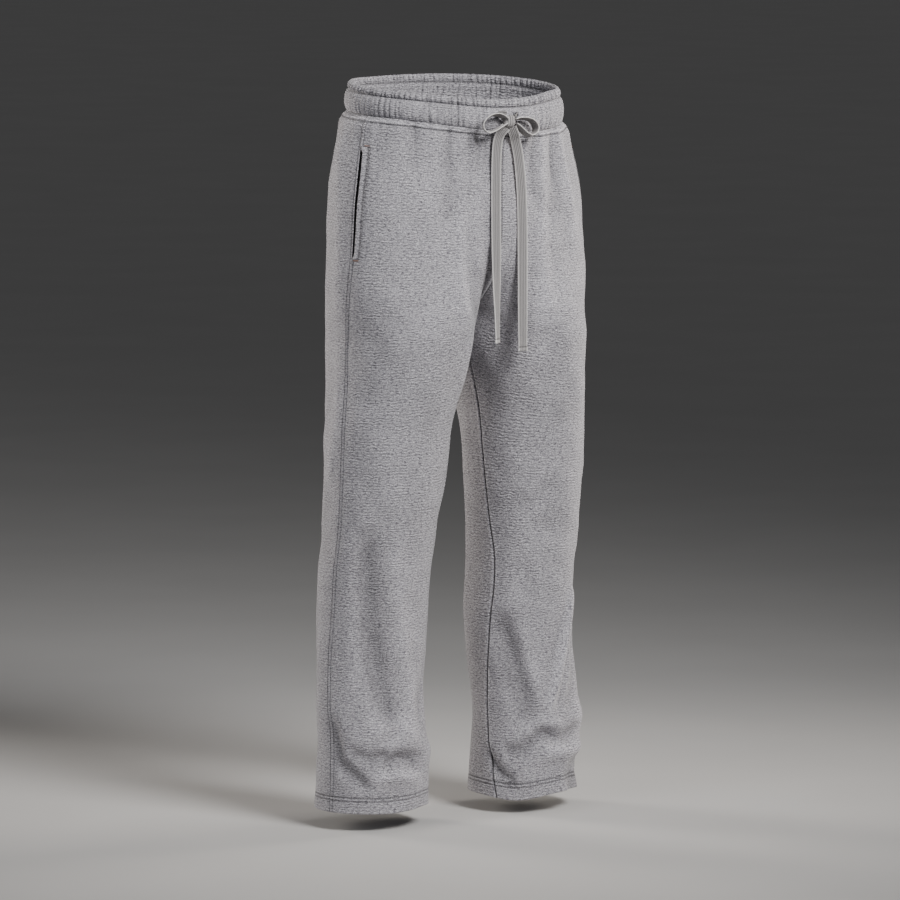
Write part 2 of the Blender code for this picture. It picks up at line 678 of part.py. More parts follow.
def between(columns, share):
    """Columns of points at these shares of the way from the first of two columns to the other."""
    return columns[:, :1] * (1 - share[:, None]) + columns[:, 1:] * share[:, None]


def make_eyelets(thread):
    row = list(BAND_PROFILE["height"]).index(-4.0)
    for side_name, side in SIDES.items():
        angle = math.asin(EYELET_OFFSET / BAND_HALF_WIDTH) * side
        x, y, _ = band_surface(np.array([angle]), row)[0]
        centre = (x, y - EYELET_RIM - SEAM_GAP, EYELET_Z)
        bpy.ops.mesh.primitive_torus_add(
            major_segments=14,
            minor_segments=5,
            major_radius=EYELET_RADIUS,
            minor_radius=EYELET_RIM,
            location=centre,
            rotation=(math.pi / 2, 0, angle * BAND_HALF_DEPTH / BAND_HALF_WIDTH),
        )
        adopt(f"eyelet_{side_name}", thread)


def make_drawstring(tape):
    bpy.ops.mesh.primitive_uv_sphere_add(segments=14, ring_count=8, radius=1, location=KNOT_CENTRE)
    bpy.context.object.scale = KNOT_HALF_SIZE
    bpy.ops.object.transform_apply(location=False, rotation=False, scale=True)
    adopt("drawstring_knot", tape)
    ribbon("drawstring_end_right", END_RIGHT, TAPE_WIDTH, tape)
    ribbon("drawstring_end_left", END_LEFT, TAPE_WIDTH, tape)
    ribbon("drawstring_loop_right", LOOP_RIGHT, TAPE_WIDTH, tape)
    ribbon("drawstring_loop_left", LOOP_LEFT, TAPE_WIDTH, tape)
    ribbon("drawstring_lead_right", LEAD_RIGHT, LEAD_WIDTH, tape)
    ribbon("drawstring_lead_left", LEAD_LEFT, LEAD_WIDTH, tape)


def adopt(name, finish):
    """Give the new primitive its name, finish and place in the collection."""
    obj = bpy.context.object
    obj.name = name
    obj.data.name = name
    for home in list(obj.users_collection):
        home.objects.unlink(obj)
    bpy.data.collections["wide_leg_sweatpants"].objects.link(obj)
    obj.data.materials.append(finish)
    obj.data.shade_smooth()


def ribbon(name, stretch, width, finish):
    """A flat tape along a stretch: an open strip with Solidify."""
    middle = np.stack([stretch[axis] for axis in "xyz"], axis=-1) * MM
    across = unit(np.stack([stretch["width_" + axis] for axis in "xyz"], axis=-1))
    stations = np.arange(len(middle))
    fine = np.linspace(0, stations[-1], 2 * len(middle) - 1)
    middle = np.stack([curve_through(stations, column, fine) for column in middle.T], axis=-1)
    across = unit(np.stack([curve_through(stations, column, fine) for column in across.T], axis=-1))
    edges = np.stack([middle - across * width / 2, middle + across * width / 2], axis=1)
    strip = add_object(name, edges.reshape(-1, 3), cells(edges), finish)
    thickness = strip.modifiers.new("Thickness", "SOLIDIFY")
    thickness.thickness = TAPE_THICKNESS
    thickness.offset = 0


def main():
    for obj in list(bpy.data.objects):
        bpy.data.objects.remove(obj)
    parts = bpy.data.collections.new("wide_leg_sweatpants")
    bpy.context.scene.collection.children.link(parts)
    fleece = material("grey_marl_fleece", (0.38, 0.37, 0.40), 0.95)
    lining = material("grey_pocket_cloth", (0.40, 0.40, 0.42), 0.9)
    tape = material("grey_woven_tape", (0.42, 0.41, 0.40), 0.8)
    thread = material("eyelet_thread", (0.20, 0.20, 0.22), 0.7)
    make_panels(fleece)
    make_waistband(fleece)
    make_pockets(fleece, lining)
    make_eyelets(thread)
    make_drawstring(tape)


main()
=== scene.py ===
"""Looks of the wide-leg sweatpants: marl fleece panels, gathered waistband, ribbed flat drawstring and stitching.

Laid out as a Blender add-on: sizes and colours are properties, and each group of pieces is made by an operator.

Metres, +Z up.  The front faces -Y and the wearer's right side is at -X.  A place on the cloth is given by
"girth", which runs over one half of the garment (0 at the centre front and the inseam, 0.5 at the side seam, 1 at
the centre back and the inseam again), and "drop", the distance below the origin measured at the side seam.
"""

import math

import bmesh
import bpy
import numpy as np
from mathutils import Matrix, Vector


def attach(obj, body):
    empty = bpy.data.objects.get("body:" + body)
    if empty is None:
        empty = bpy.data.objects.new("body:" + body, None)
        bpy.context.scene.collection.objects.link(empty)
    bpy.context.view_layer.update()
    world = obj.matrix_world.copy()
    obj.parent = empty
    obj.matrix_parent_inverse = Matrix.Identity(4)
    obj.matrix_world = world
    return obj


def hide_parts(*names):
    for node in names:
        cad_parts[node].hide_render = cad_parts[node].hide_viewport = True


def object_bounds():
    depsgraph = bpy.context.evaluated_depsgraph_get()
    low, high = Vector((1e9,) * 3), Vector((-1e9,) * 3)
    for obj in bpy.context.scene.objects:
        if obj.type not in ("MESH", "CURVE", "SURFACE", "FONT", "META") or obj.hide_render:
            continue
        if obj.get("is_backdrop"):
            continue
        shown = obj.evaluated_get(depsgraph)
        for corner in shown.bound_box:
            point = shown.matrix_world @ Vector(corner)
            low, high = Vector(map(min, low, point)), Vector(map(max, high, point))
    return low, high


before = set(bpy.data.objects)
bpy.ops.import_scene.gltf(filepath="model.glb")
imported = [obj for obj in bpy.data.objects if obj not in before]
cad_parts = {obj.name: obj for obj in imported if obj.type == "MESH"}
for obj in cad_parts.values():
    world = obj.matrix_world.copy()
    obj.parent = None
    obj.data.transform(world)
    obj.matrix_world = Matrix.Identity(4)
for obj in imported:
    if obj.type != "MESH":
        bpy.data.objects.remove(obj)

bl_info = {
    "name": "Wide-leg sweatpants",
    "version": (1, 0, 0),
    "blender": (4, 5, 0),
    "location": "View3D > Sidebar > Sweatpants",
    "description": "Dresses the sweatpants: cloth, waistband, drawstring, pockets and stitching",
    "category": "Object",
}

MM = 0.001
RIGHT, LEFT = -1, 1
SIDES = {"right": RIGHT, "left": LEFT}
BODY = "root"
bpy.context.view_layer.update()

# Places shared with the solids
SEAM_GAP = 0.3 * MM
BAND_BOTTOM = -22.7 * MM
BAND_HEIGHT = 47.7 * MM
BAND_HALF_WIDTH = 168.0 * MM
BAND_HALF_DEPTH = 126.0 * MM
BAND_TILT = math.tan(math.radians(5.4))
TILT_ENDS_AT = 200 * MM
OUTSEAM = 1010 * MM
CROTCH_DROP = 335 * MM
LEG_FULLNESS = 2.15
PANEL_TOP = 21.6 * MM
POCKET_FROM = 63 * MM
POCKET_TO = 212 * MM
WELT_FROM_ACROSS = 0.943
WELT_SLANT = 0.011
BAG_FROM_ACROSS = 0.55
BAG_TO = 286 * MM


def table(columns, rows):
    """The named columns of a short table, each as an array."""
    return dict(zip(columns.split(), np.array(rows, float).T))


# Half sizes of the seat's sections, in millimetres: from the centre to the side, front and back.
SEAT = table(
    "drop half_width front back front_fullness back_fullness",
    [
        (23, 166.5, 124, 124, 2.04, 2.0),
        (31, 176, 122, 127, 2.11, 2.05),
        (50, 182.5, 120, 130, 2.18, 2.1),
        (80, 190, 118, 133, 2.26, 2.1),
        (110, 195, 117.5, 135, 2.41, 2.1),
        (140, 199, 117.5, 136, 2.51, 2.1),
        (170, 200, 118, 136, 2.56, 2.1),
        (200, 201, 118.5, 135, 2.61, 2.1),
        (260, 203.5, 122, 132, 2.64, 2.1),
        (335, 203.5, 125, 127, 2.59, 2.1),
    ],
)

# Sections of a leg, in millimetres: its centre from the middle plane, and the reach of the section from there.
LEG = table(
    "drop centre_x centre_y inner outer front back",
    [
        (150, 97, 0, 97, 101, 126, 137),
        (335, 101, 0, 101, 93.5, 127, 114),
        (400, 110, 0, 99.5, 87.5, 113, 105),
        (460, 117, 0, 87.5, 87, 99, 94),
        (500, 120, 0, 86.5, 86.5, 92.5, 89),
        (550, 123, 3, 84, 84.5, 87, 84),
        (600, 126, 8, 82, 82, 81, 81),
        (650, 129, 14, 80, 81, 78.5, 79),
        (700, 130, 19, 80, 80, 76.5, 77),
        (750, 130, 23, 80, 79.5, 76, 75.5),
        (800, 133, 23, 79, 78.5, 74.5, 74.5),
        (850, 136, 19, 77.5, 78.5, 73.5, 73),
        (900, 137, 14, 79, 78, 74, 73),
        (950, 136, 12, 80.5, 80, 76, 75),
        (1010, 136, 16, 81.5, 81, 79, 78),
    ],
)

# How the seat turns into legs: the drop of a row at the centre seam, and its share of leg section.
RISE = table(
    "drop inner_drop front_share back_share",
    [
        (23, 23, 0.00, 0.00),
        (100, 100, 0.00, 0.00),
        (160, 160, 0.00, 0.00),
        (200, 199, 0.04, 0.00),
        (230, 226, 0.12, 0.03),
        (260, 250, 0.29, 0.12),
        (285, 269, 0.51, 0.30),
        (310, 281, 0.76, 0.58),
        (335, 288, 1.00, 1.00),
        (365, 325, 1.00, 1.00),
        (410, 381, 1.00, 1.00),
        (470, 455, 1.00, 1.00),
        (540, 537, 1.00, 1.00),
        (600, 600, 1.00, 1.00),
        (1010, 1010, 1.00, 1.00),
    ],
)

# How far forward of the garment's side and inner leg its seams run, in degrees round the section.
SEAMS = table(
    "drop side_turn inseam_turn",
    [
        (23, 8.5, 10),
        (120, 9.5, 10),
        (200, 9, 10),
        (335, 6.5, 14),
        (400, 8, 14),
        (460, 9.5, 12.5),
        (540, 10.5, 15),
        (600, 12, 19.5),
        (660, 11.5, 26),
        (700, 11.5, 26.5),
        (780, 9, 21),
        (880, 7.5, 10.5),
        (950, 9, 14),
        (1010, 11, 26),
    ],
)

# Half the way round the garment, for measuring folds along the cloth.
HALF_GIRTH = table(
    "drop length",
    [
        (23, 465),
        (110, 520),
        (200, 555),
        (335, 640),
        (460, 575),
        (600, 515),
        (1010, 480),
    ],
)

# Folds, each along three places on the cloth: girth and drop, then its height (troughs are negative) and half
# width.  Drops, heights and half widths are in millimetres.
FOLD_COLUMNS = "side girth_1 drop_1 girth_2 drop_2 girth_3 drop_3 height half_width"
FOLDS = table(
    FOLD_COLUMNS,
    [
        # right leg, front: under the band
        (RIGHT, 0.350, 20, 0.348, 50, 0.346, 90, -3.0, 12),
        (RIGHT, 0.236, 20, 0.234, 90, 0.237, 170, -3.0, 12),
        (RIGHT, 0.154, 20, 0.150, 60, 0.150, 100, -2.5, 12),
        (RIGHT, 0.105, 20, 0.100, 55, 0.102, 90, -2.0, 12),
        (RIGHT, 0.430, 20, 0.428, 55, 0.430, 100, -2.0, 12),
        (RIGHT, 0.183, 110, 0.200, 270, 0.120, 440, 3.5, 16),
        (RIGHT, 0.062, 190, 0.058, 250, 0.062, 300, -3.0, 12),
        # right leg, front: shin, break and hem
        (RIGHT, 0.375, 590, 0.330, 729, 0.268, 865, -5.0, 24),
        (RIGHT, 0.105, 820, 0.150, 870, 0.188, 900, -3.5, 14),
        (RIGHT, 0.380, 890, 0.270, 886, 0.150, 896, 5.0, 18),
        (RIGHT, 0.440, 918, 0.350, 931, 0.290, 922, -5.0, 13),
        (RIGHT, 0.320, 940, 0.255, 930, 0.120, 944, -6.0, 13),
        (RIGHT, 0.380, 966, 0.270, 959, 0.120, 970, 3.5, 14),
        (RIGHT, -0.060, 925, 0.030, 928, 0.110, 922, 5.0, 16),
        (RIGHT, 0.496, 865, 0.470, 936, 0.345, 976, -5.0, 12),
        # right leg, side and back
        (RIGHT, 0.580, 22, 0.545, 160, 0.530, 330, 3.0, 12),
        (RIGHT, 0.528, 330, 0.530, 450, 0.555, 540, 2.5, 12),
        (RIGHT, 0.560, 540, 0.570, 600, 0.560, 660, -3.0, 20),
        (RIGHT, 0.640, 20, 0.645, 60, 0.640, 115, -3.0, 12),
        (RIGHT, 0.715, 20, 0.712, 80, 0.722, 150, -3.5, 12),
        (RIGHT, 0.795, 20, 0.800, 55, 0.798, 100, -3.0, 12),
        (RIGHT, 0.885, 20, 0.880, 70, 0.890, 140, -3.0, 12),
        (RIGHT, 0.955, 20, 0.955, 50, 0.950, 85, -2.5, 12),
        (RIGHT, 0.690, 318, 0.800, 345, 0.900, 330, -5.0, 18),
        (RIGHT, 0.640, 560, 0.740, 590, 0.880, 575, -5.0, 15),
        (RIGHT, 0.620, 630, 0.730, 650, 0.860, 640, -4.0, 14),
        (RIGHT, 0.760, 700, 0.720, 790, 0.700, 880, -4.0, 18),
        (RIGHT, 0.600, 893, 0.720, 888, 0.850, 896, 4.5, 17),
        (RIGHT, 0.590, 928, 0.710, 918, 0.860, 927, -6.0, 13),
        # left leg, front: under the band
        (LEFT, 0.100, 20, 0.098, 60, 0.100, 110, -2.0, 12),
        (LEFT, 0.165, 20, 0.160, 70, 0.158, 130, -2.5, 12),
        (LEFT, 0.221, 20, 0.215, 100, 0.208, 190, 3.0, 12),
        (LEFT, 0.262, 20, 0.268, 80, 0.280, 160, -3.0, 12),
        (LEFT, 0.300, 20, 0.330, 110, 0.350, 215, 4.0, 13),
        (LEFT, 0.395, 20, 0.400, 70, 0.410, 130, -2.5, 12),
        (LEFT, 0.190, 140, 0.205, 280, 0.150, 430, 3.0, 18),
        (LEFT, 0.060, 200, 0.056, 255, 0.060, 300, -2.5, 12),
        # left leg, front: knee, break and hem
        (LEFT, 0.400, 650, 0.405, 725, 0.400, 770, -3.0, 20),
        (LEFT, 0.365, 705, 0.300, 800, 0.210, 892, 5.0, 15),
        (LEFT, 0.400, 770, 0.370, 850, 0.300, 890, -4.5, 15),
        (LEFT, 0.020, 730, 0.110, 830, 0.165, 900, -5.0, 17),
        (LEFT, 0.050, 944, 0.117, 940, 0.170, 924, -5.0, 13),
        (LEFT, 0.160, 924, 0.200, 917, 0.265, 931, -6.0, 13),
        (LEFT, 0.255, 930, 0.310, 924, 0.410, 914, -5.0, 13),
        (LEFT, 0.340, 885, 0.410, 905, 0.500, 890, 5.0, 18),
        (LEFT, 0.180, 948, 0.270, 952, 0.420, 944, 5.0, 13),
        (LEFT, 0.300, 978, 0.370, 973, 0.480, 972, -6.0, 13),
        (LEFT, 0.280, 1005, 0.380, 990, 0.500, 985, -8.5, 26),
        (LEFT, 0.000, 945, 0.035, 980, 0.090, 985, -4.0, 13),
        # left leg, side and back
        (LEFT, 0.580, 22, 0.552, 150, 0.540, 300, 3.0, 12),
        (LEFT, 0.545, 560, 0.560, 610, 0.550, 650, -3.0, 18),
        (LEFT, 0.632, 20, 0.628, 70, 0.635, 130, -3.0, 12),
        (LEFT, 0.700, 20, 0.705, 55, 0.700, 95, -3.0, 12),
        (LEFT, 0.775, 20, 0.770, 85, 0.780, 155, -3.5, 12),
        (LEFT, 0.862, 20, 0.865, 60, 0.860, 105, -3.0, 12),
        (LEFT, 0.935, 20, 0.932, 70, 0.940, 130, -3.0, 12),
        (LEFT, 0.700, 325, 0.805, 348, 0.895, 325, -5.0, 18),
        (LEFT, 0.630, 572, 0.750, 598, 0.870, 580, -5.0, 15),
        (LEFT, 0.650, 645, 0.740, 660, 0.850, 645, -3.5, 13),
        (LEFT, 0.700, 690, 0.740, 780, 0.760, 870, -4.0, 18),
        (LEFT, 0.620, 898, 0.730, 890, 0.860, 892, 4.5, 17),
        (LEFT, 0.600, 924, 0.730, 916, 0.870, 930, -6.0, 13),
    ],
)

# Smaller creases that ride on the folds, in the same columns.
CREASES = table(
    FOLD_COLUMNS,
    [
        # right leg, front: thin ends of the gathers under the band
        (RIGHT, 0.350, 20, 0.349, 36, 0.348, 56, -2.2, 3.6),
        (RIGHT, 0.236, 18, 0.235, 45, 0.236, 85, -2.6, 4.5),
        (RIGHT, 0.154, 20, 0.153, 40, 0.152, 64, -2.0, 3.5),
        (RIGHT, 0.120, 20, 0.118, 55, 0.119, 100, -2.0, 6.5),
        (RIGHT, 0.085, 20, 0.083, 60, 0.084, 115, -2.2, 6.0),
        (RIGHT, 0.052, 20, 0.052, 45, 0.053, 80, -1.6, 4.5),
        (RIGHT, 0.137, 30, 0.135, 60, 0.136, 95, 1.4, 5.0),
        (RIGHT, 0.102, 30, 0.100, 60, 0.101, 100, 1.4, 5.0),
        (LEFT, 0.165, 20, 0.162, 50, 0.160, 95, -2.2, 4.5),
        (LEFT, 0.200, 20, 0.197, 60, 0.192, 130, 1.8, 5.5),
        (LEFT, 0.262, 20, 0.266, 60, 0.272, 120, -2.2, 5.0),
        (LEFT, 0.305, 20, 0.325, 80, 0.345, 150, 2.2, 6.0),
        (LEFT, 0.345, 25, 0.365, 90, 0.385, 160, -2.0, 6.0),
        # right leg, front: the long soft ridge and the shin's trough
        (RIGHT, 0.196, 150, 0.196, 270, 0.130, 430, 2.0, 9),
        (RIGHT, 0.150, 200, 0.140, 300, 0.090, 420, -1.8, 12),
        (RIGHT, 0.405, 590, 0.360, 750, 0.262, 920, -6.0, 16),
        (RIGHT, 0.340, 750, 0.305, 830, 0.245, 900, -3.6, 14),
        (RIGHT, 0.300, 590, 0.225, 750, 0.160, 920, 3.2, 15),
        (RIGHT, 0.492, 875, 0.464, 944, 0.348, 973, -3.0, 10),
        (RIGHT, 0.500, 865, 0.480, 930, 0.455, 980, 2.0, 7),
        (RIGHT, 0.380, 964, 0.280, 956, 0.150, 966, 3.2, 9),
        (RIGHT, 0.345, 918, 0.270, 912, 0.180, 920, 3.0, 8),
        # left leg, front: the fold that stands out at the side and the shin's trough
        (LEFT, 0.365, 700, 0.296, 798, 0.215, 895, 5.2, 8),
        (LEFT, 0.330, 720, 0.262, 810, 0.190, 892, -3.0, 9),
        (LEFT, 0.390, 720, 0.330, 810, 0.252, 895, -4.0, 8),
        (LEFT, 0.045, 740, 0.102, 830, 0.165, 918, -4.2, 18),
        (LEFT, 0.110, 750, 0.160, 830, 0.205, 888, 2.0, 9),
        (LEFT, 0.110, 918, 0.190, 902, 0.275, 908, 3.0, 8),
        (LEFT, 0.230, 545, 0.150, 575, 0.080, 560, -1.8, 14),
        (LEFT, 0.200, 585, 0.140, 605, 0.080, 595, 1.6, 12),
        (LEFT, -0.015, 935, 0.014, 966, 0.082, 985, -3.6, 7),
        (LEFT, 0.420, 945, 0.290, 950, 0.190, 944, 2.0, 9),
        # right leg, front: sharp ends of the break's folds
        (RIGHT, 0.310, 940, 0.250, 931, 0.160, 941, -5.6, 6),
        (RIGHT, 0.235, 919, 0.180, 928, 0.110, 936, -2.4, 6),
        (RIGHT, 0.430, 920, 0.358, 932, 0.290, 920, -2.8, 6),
        (RIGHT, 0.300, 912, 0.240, 903, 0.170, 905, 1.4, 8),
        (RIGHT, 0.460, 930, 0.400, 962, 0.335, 972, -1.5, 8),
        (RIGHT, 0.150, 760, 0.190, 800, 0.230, 850, -1.2, 12),
        (RIGHT, 0.080, 770, 0.100, 830, 0.120, 880, -1.4, 9),
        (RIGHT, 0.230, 640, 0.200, 720, 0.170, 790, 1.2, 16),
        (RIGHT, 0.440, 640, 0.420, 760, 0.410, 850, 1.0, 14),
        # right leg, front: hip, thigh and knee
        (RIGHT, 0.290, 60, 0.285, 140, 0.270, 230, 1.2, 18),
        (RIGHT, 0.130, 110, 0.125, 170, 0.105, 240, 1.5, 12),
        (RIGHT, 0.085, 120, 0.080, 180, 0.075, 260, -1.2, 9),
        (RIGHT, 0.120, 280, 0.080, 310, 0.030, 325, -0.6, 10),
        (RIGHT, 0.300, 380, 0.260, 430, 0.200, 480, -1.0, 20),
        (RIGHT, 0.400, 470, 0.350, 520, 0.280, 560, 1.0, 18),
        # right leg, back
        (RIGHT, 0.700, 320, 0.800, 338, 0.880, 330, -1.8, 7),
        (RIGHT, 0.720, 362, 0.810, 378, 0.900, 366, -1.4, 8),
        (RIGHT, 0.660, 565, 0.750, 588, 0.850, 578, -1.8, 6),
        (RIGHT, 0.640, 604, 0.730, 618, 0.840, 606, 1.8, 9),
        (RIGHT, 0.640, 926, 0.720, 917, 0.820, 925, -2.2, 5),
        (RIGHT, 0.600, 958, 0.720, 950, 0.840, 957, 2.4, 10),
        (RIGHT, 0.560, 700, 0.600, 790, 0.590, 860, -1.6, 12),
        (RIGHT, 0.830, 430, 0.780, 480, 0.740, 530, -1.4, 14),
        # left leg, front: sharp ends of the break's folds
        (LEFT, 0.160, 927, 0.205, 920, 0.262, 930, -4.0, 5),
        (LEFT, 0.245, 929, 0.310, 924, 0.380, 915, -3.0, 6),
        (LEFT, 0.060, 944, 0.120, 941, 0.180, 924, -3.0, 6),
        (LEFT, 0.190, 906, 0.240, 904, 0.300, 912, 1.4, 8),
        (LEFT, 0.050, 800, 0.090, 850, 0.130, 900, -1.3, 9),
        (LEFT, 0.300, 600, 0.220, 615, 0.120, 600, -1.4, 14),
        (LEFT, 0.280, 655, 0.200, 640, 0.110, 655, 1.2, 12),
        (LEFT, 0.110, 650, 0.150, 720, 0.170, 780, -1.0, 14),
        # left leg, front: hip, thigh
        (LEFT, 0.130, 60, 0.120, 130, 0.110, 210, 1.2, 10),
        (LEFT, 0.240, 80, 0.245, 160, 0.240, 250, -1.2, 12),
        (LEFT, 0.120, 285, 0.080, 312, 0.030, 328, -0.6, 10),
        (LEFT, 0.300, 420, 0.240, 450, 0.170, 470, -1.0, 20),
        # left leg, back
        (LEFT, 0.710, 328, 0.800, 344, 0.880, 330, -1.8, 7),
        (LEFT, 0.720, 370, 0.800, 384, 0.890, 370, -1.4, 8),
        (LEFT, 0.650, 574, 0.750, 597, 0.850, 583, -1.8, 6),
        (LEFT, 0.650, 612, 0.740, 626, 0.830, 615, 1.8, 9),
        (LEFT, 0.640, 922, 0.730, 915, 0.830, 926, -2.2, 5),
        (LEFT, 0.610, 955, 0.730, 948, 0.850, 956, 2.4, 10),
        (LEFT, 0.570, 720, 0.610, 800, 0.600, 860, -1.6, 12),
        (LEFT, 0.830, 425, 0.790, 470, 0.750, 520, -1.4, 14),
    ],
)

# Where the hems dip or rise (negative), and over what half width in girth.
HEMS = table(
    "side girth dip half_width",
    [
        (RIGHT, 0.10, -4, 0.09),
        (LEFT, 0.07, 6.5, 0.10),
        (LEFT, 0.30, -3.5, 0.12),
        (LEFT, 0.75, 3, 0.12),
        (RIGHT, 0.70, 3, 0.15),
    ],
)

# How much higher the rim and the waistband's lower seam run than a level oval, in millimetres, by degrees round the
# waist: 0 at the centre front and 90 at the wearer's left.
WAIST = table(
    "angle rim seam",
    [
        (-240, 3.8, 3),
        (-180, 2.8, 5),
        (-150, 3.0, 8),
        (-117, 7.0, 11.5),
        (-92, 8.0, 15.5),
        (-72, 7.8, 17),
        (-57, 7.0, 16),
        (-41, 5.4, 12.5),
        (-25, 3.0, 8.7),
        (-12, 1.0, 5.5),
        (5, 0.8, 2.5),
        (28, 2.5, 0.3),
        (44, 5.5, 0),
        (62, 4.5, 1),
        (90, 3.8, 2),
        (120, 3.8, 3),
        (180, 2.8, 5),
        (240, 4.0, 10),
    ],
)

# The waistband's section, up its outside, over the top edge and down its inside: height, the half width and half
# depth of its oval there, and how much of the gathers of each channel shows.  Millimetres.
BAND_PROFILE = table(
    "height half_width half_depth top_gathers band_gathers",
    [
        (-22.6, 165.2, 123.6, 0.0, 0.6),
        (-21.9, 167.1, 125.5, 0.0, 1.0),
        (-19.5, 168.5, 126.9, 0.0, 1.3),
        (-14.0, 170.0, 128.6, 0.0, 1.1),
        (-5.0, 170.6, 129.3, 0.0, 0.8),
        (3.0, 169.6, 128.6, 0.0, 0.9),
        (8.2, 167.9, 127.2, 0.0, 1.2),
        (11.0, 165.8, 125.6, 0.2, 0.9),
        (12.5, 162.0, 122.4, 0.4, 0.4),
        (14.0, 164.4, 124.6, 0.8, 0.2),
        (16.4, 165.6, 125.8, 1.0, 0.0),
        (20.2, 165.2, 125.5, 1.0, 0.0),
        (23.4, 163.2, 123.7, 0.9, 0.0),
        (25.0, 159.7, 120.7, 0.6, 0.0),
        (24.2, 157.4, 118.7, 0.5, 0.0),
        (21.5, 156.2, 117.6, 0.7, 0.0),
        (15.5, 156.6, 117.6, 0.8, 0.2),
        (12.7, 158.6, 119.0, 0.4, 0.4),
        (10.0, 157.6, 118.2, 0.0, 0.8),
        (0.0, 159.4, 119.2, 0.0, 0.9),
        (-14.0, 161.2, 120.2, 0.0, 0.7),
        (-22.4, 162.6, 121.2, 0.0, 0.3),
    ],
)
STITCH_ROW_OUTSIDE, STITCH_ROW_INSIDE, RIM_ROW = 8, 17, 13

# Deep gathers of the waistband: degrees round the waist, how deep, how wide and how far they lean, in millimetres.
GATHERS = table(
    "angle depth half_width lean",
    [
        (-88.0, 1.6, 2.0, 0.5),
        (-84.0, 1.9, 2.2, 0.0),
        (-80.5, 1.8, 2.0, -0.5),
        (-76.0, 1.7, 1.6, 0.8),
        (-73.0, 2.0, 1.5, 0.5),
        (-70.0, 2.0, 1.5, 0.5),
        (-67.0, 1.5, 1.5, -0.5),
        (-63.5, 0.9, 1.9, -1.0),
        (-49.5, 3.0, 1.8, 0.5),
        (-41.0, 1.1, 2.0, 0.0),
        (-37.0, 1.8, 1.7, 0.0),
        (-33.0, 2.6, 1.6, 0.0),
        (-30.0, 2.0, 1.6, 0.0),
        (-26.5, 1.0, 1.8, 0.0),
        (-21.5, 2.0, 1.8, 2.0),
        (-16.0, 2.2, 1.8, 1.0),
        (25.0, 0.9, 2.0, 0.0),
        (31.0, 1.2, 1.8, 0.0),
        (36.0, 1.6, 1.7, 0.5),
        (40.5, 1.8, 1.7, 0.0),
        (45.0, 2.0, 1.7, 0.0),
        (49.0, 2.0, 1.7, -0.5),
        (53.5, 2.2, 1.8, 0.0),
        (58.0, 2.2, 1.8, 0.5),
        (62.5, 2.2, 1.8, 0.0),
        (67.0, 2.0, 1.8, 0.0),
        (72.0, 2.2, 1.9, 0.0),
        (77.5, 2.0, 1.8, 0.5),
        (82.0, 2.2, 1.9, 0.0),
        (86.5, 1.8, 1.8, 0.0),
        (119.0, 2.6, 1.8, 4.0),
        (124.0, 2.4, 1.8, 4.0),
        (143.0, 2.4, 1.8, 3.0),
        (153.0, 2.4, 1.8, 4.0),
        (168.0, 2.2, 1.8, 4.0),
    ],
)
PLAIN_STRETCHES = ((-62, -51), (-14, 23))

# The tape's stretches from the knot, in millimetres: a point of its middle line and the way its width runs.
STRETCH_COLUMNS = "x y z width_x width_y width_z"
END_RIGHT = table(
    STRETCH_COLUMNS,
    [
        (-6.0, -136.6, -24.5, 0.90, -0.44, 0.30),
        (-11.5, -133.0, -32.0, 0.93, -0.36, 0.10),
        (-14.0, -128.0, -44.0, 0.96, -0.28, 0.00),
        (-14.2, -124.8, -66.0, 0.97, -0.26, 0.00),
        (-13.8, -123.2, -105.0, 0.97, -0.26, 0.00),
        (-13.5, -122.8, -150.0, 0.97, -0.24, 0.00),
        (-13.0, -122.8, -200.0, 0.98, -0.18, 0.00),
        (-12.8, -123.2, -245.0, 0.985, 0.10, 0.00),
        (-12.5, -124.2, -290.0, 0.91, 0.42, 0.00),
        (-12.2, -125.2, -334.0, 0.81, 0.58, 0.00),
    ],
)
END_LEFT = table(
    STRETCH_COLUMNS,
    [
        (3.5, -137.1, -25.7, 0.86, -0.40, 0.40),
        (9.5, -134.0, -34.5, 0.90, -0.36, 0.30),
        (17.0, -127.8, -46.0, 0.94, -0.32, 0.16),
        (24.5, -124.2, -68.0, 0.94, -0.34, 0.06),
        (29.8, -122.8, -102.0, 0.94, -0.34, 0.03),
        (32.6, -122.2, -145.0, 0.94, -0.34, 0.01),
        (33.4, -122.2, -200.0, 0.94, -0.34, 0.00),
        (33.5, -122.4, -260.0, 0.96, -0.28, 0.00),
        (33.4, -122.8, -310.0, 0.985, -0.15, 0.00),
        (33.3, -123.2, -348.0, 1.0, -0.02, 0.00),
    ],
)
LOOP_RIGHT = table(
    STRETCH_COLUMNS,
    [
        (-7.4, -137.5, -13.5, -0.10, -0.92, 0.38),
        (-14.0, -138.6, -9.0, -0.22, -0.90, 0.36),
        (-23.0, -139.0, -6.3, -0.34, -0.88, 0.32),
        (-33.0, -138.4, -7.4, -0.44, -0.86, 0.26),
        (-41.0, -137.4, -12.0, -0.50, -0.85, 0.16),
        (-45.5, -136.4, -19.0, -0.50, -0.86, 0.06),
        (-43.5, -136.0, -26.5, -0.42, -0.90, 0.00),
        (-36.0, -136.0, -30.8, -0.30, -0.95, 0.00),
        (-26.0, -136.8, -28.6, -0.16, -0.98, 0.06),
        (-15.5, -137.6, -23.6, -0.06, -0.98, 0.16),
        (-7.6, -137.6, -20.0, 0.00, -0.96, 0.26),
    ],
)
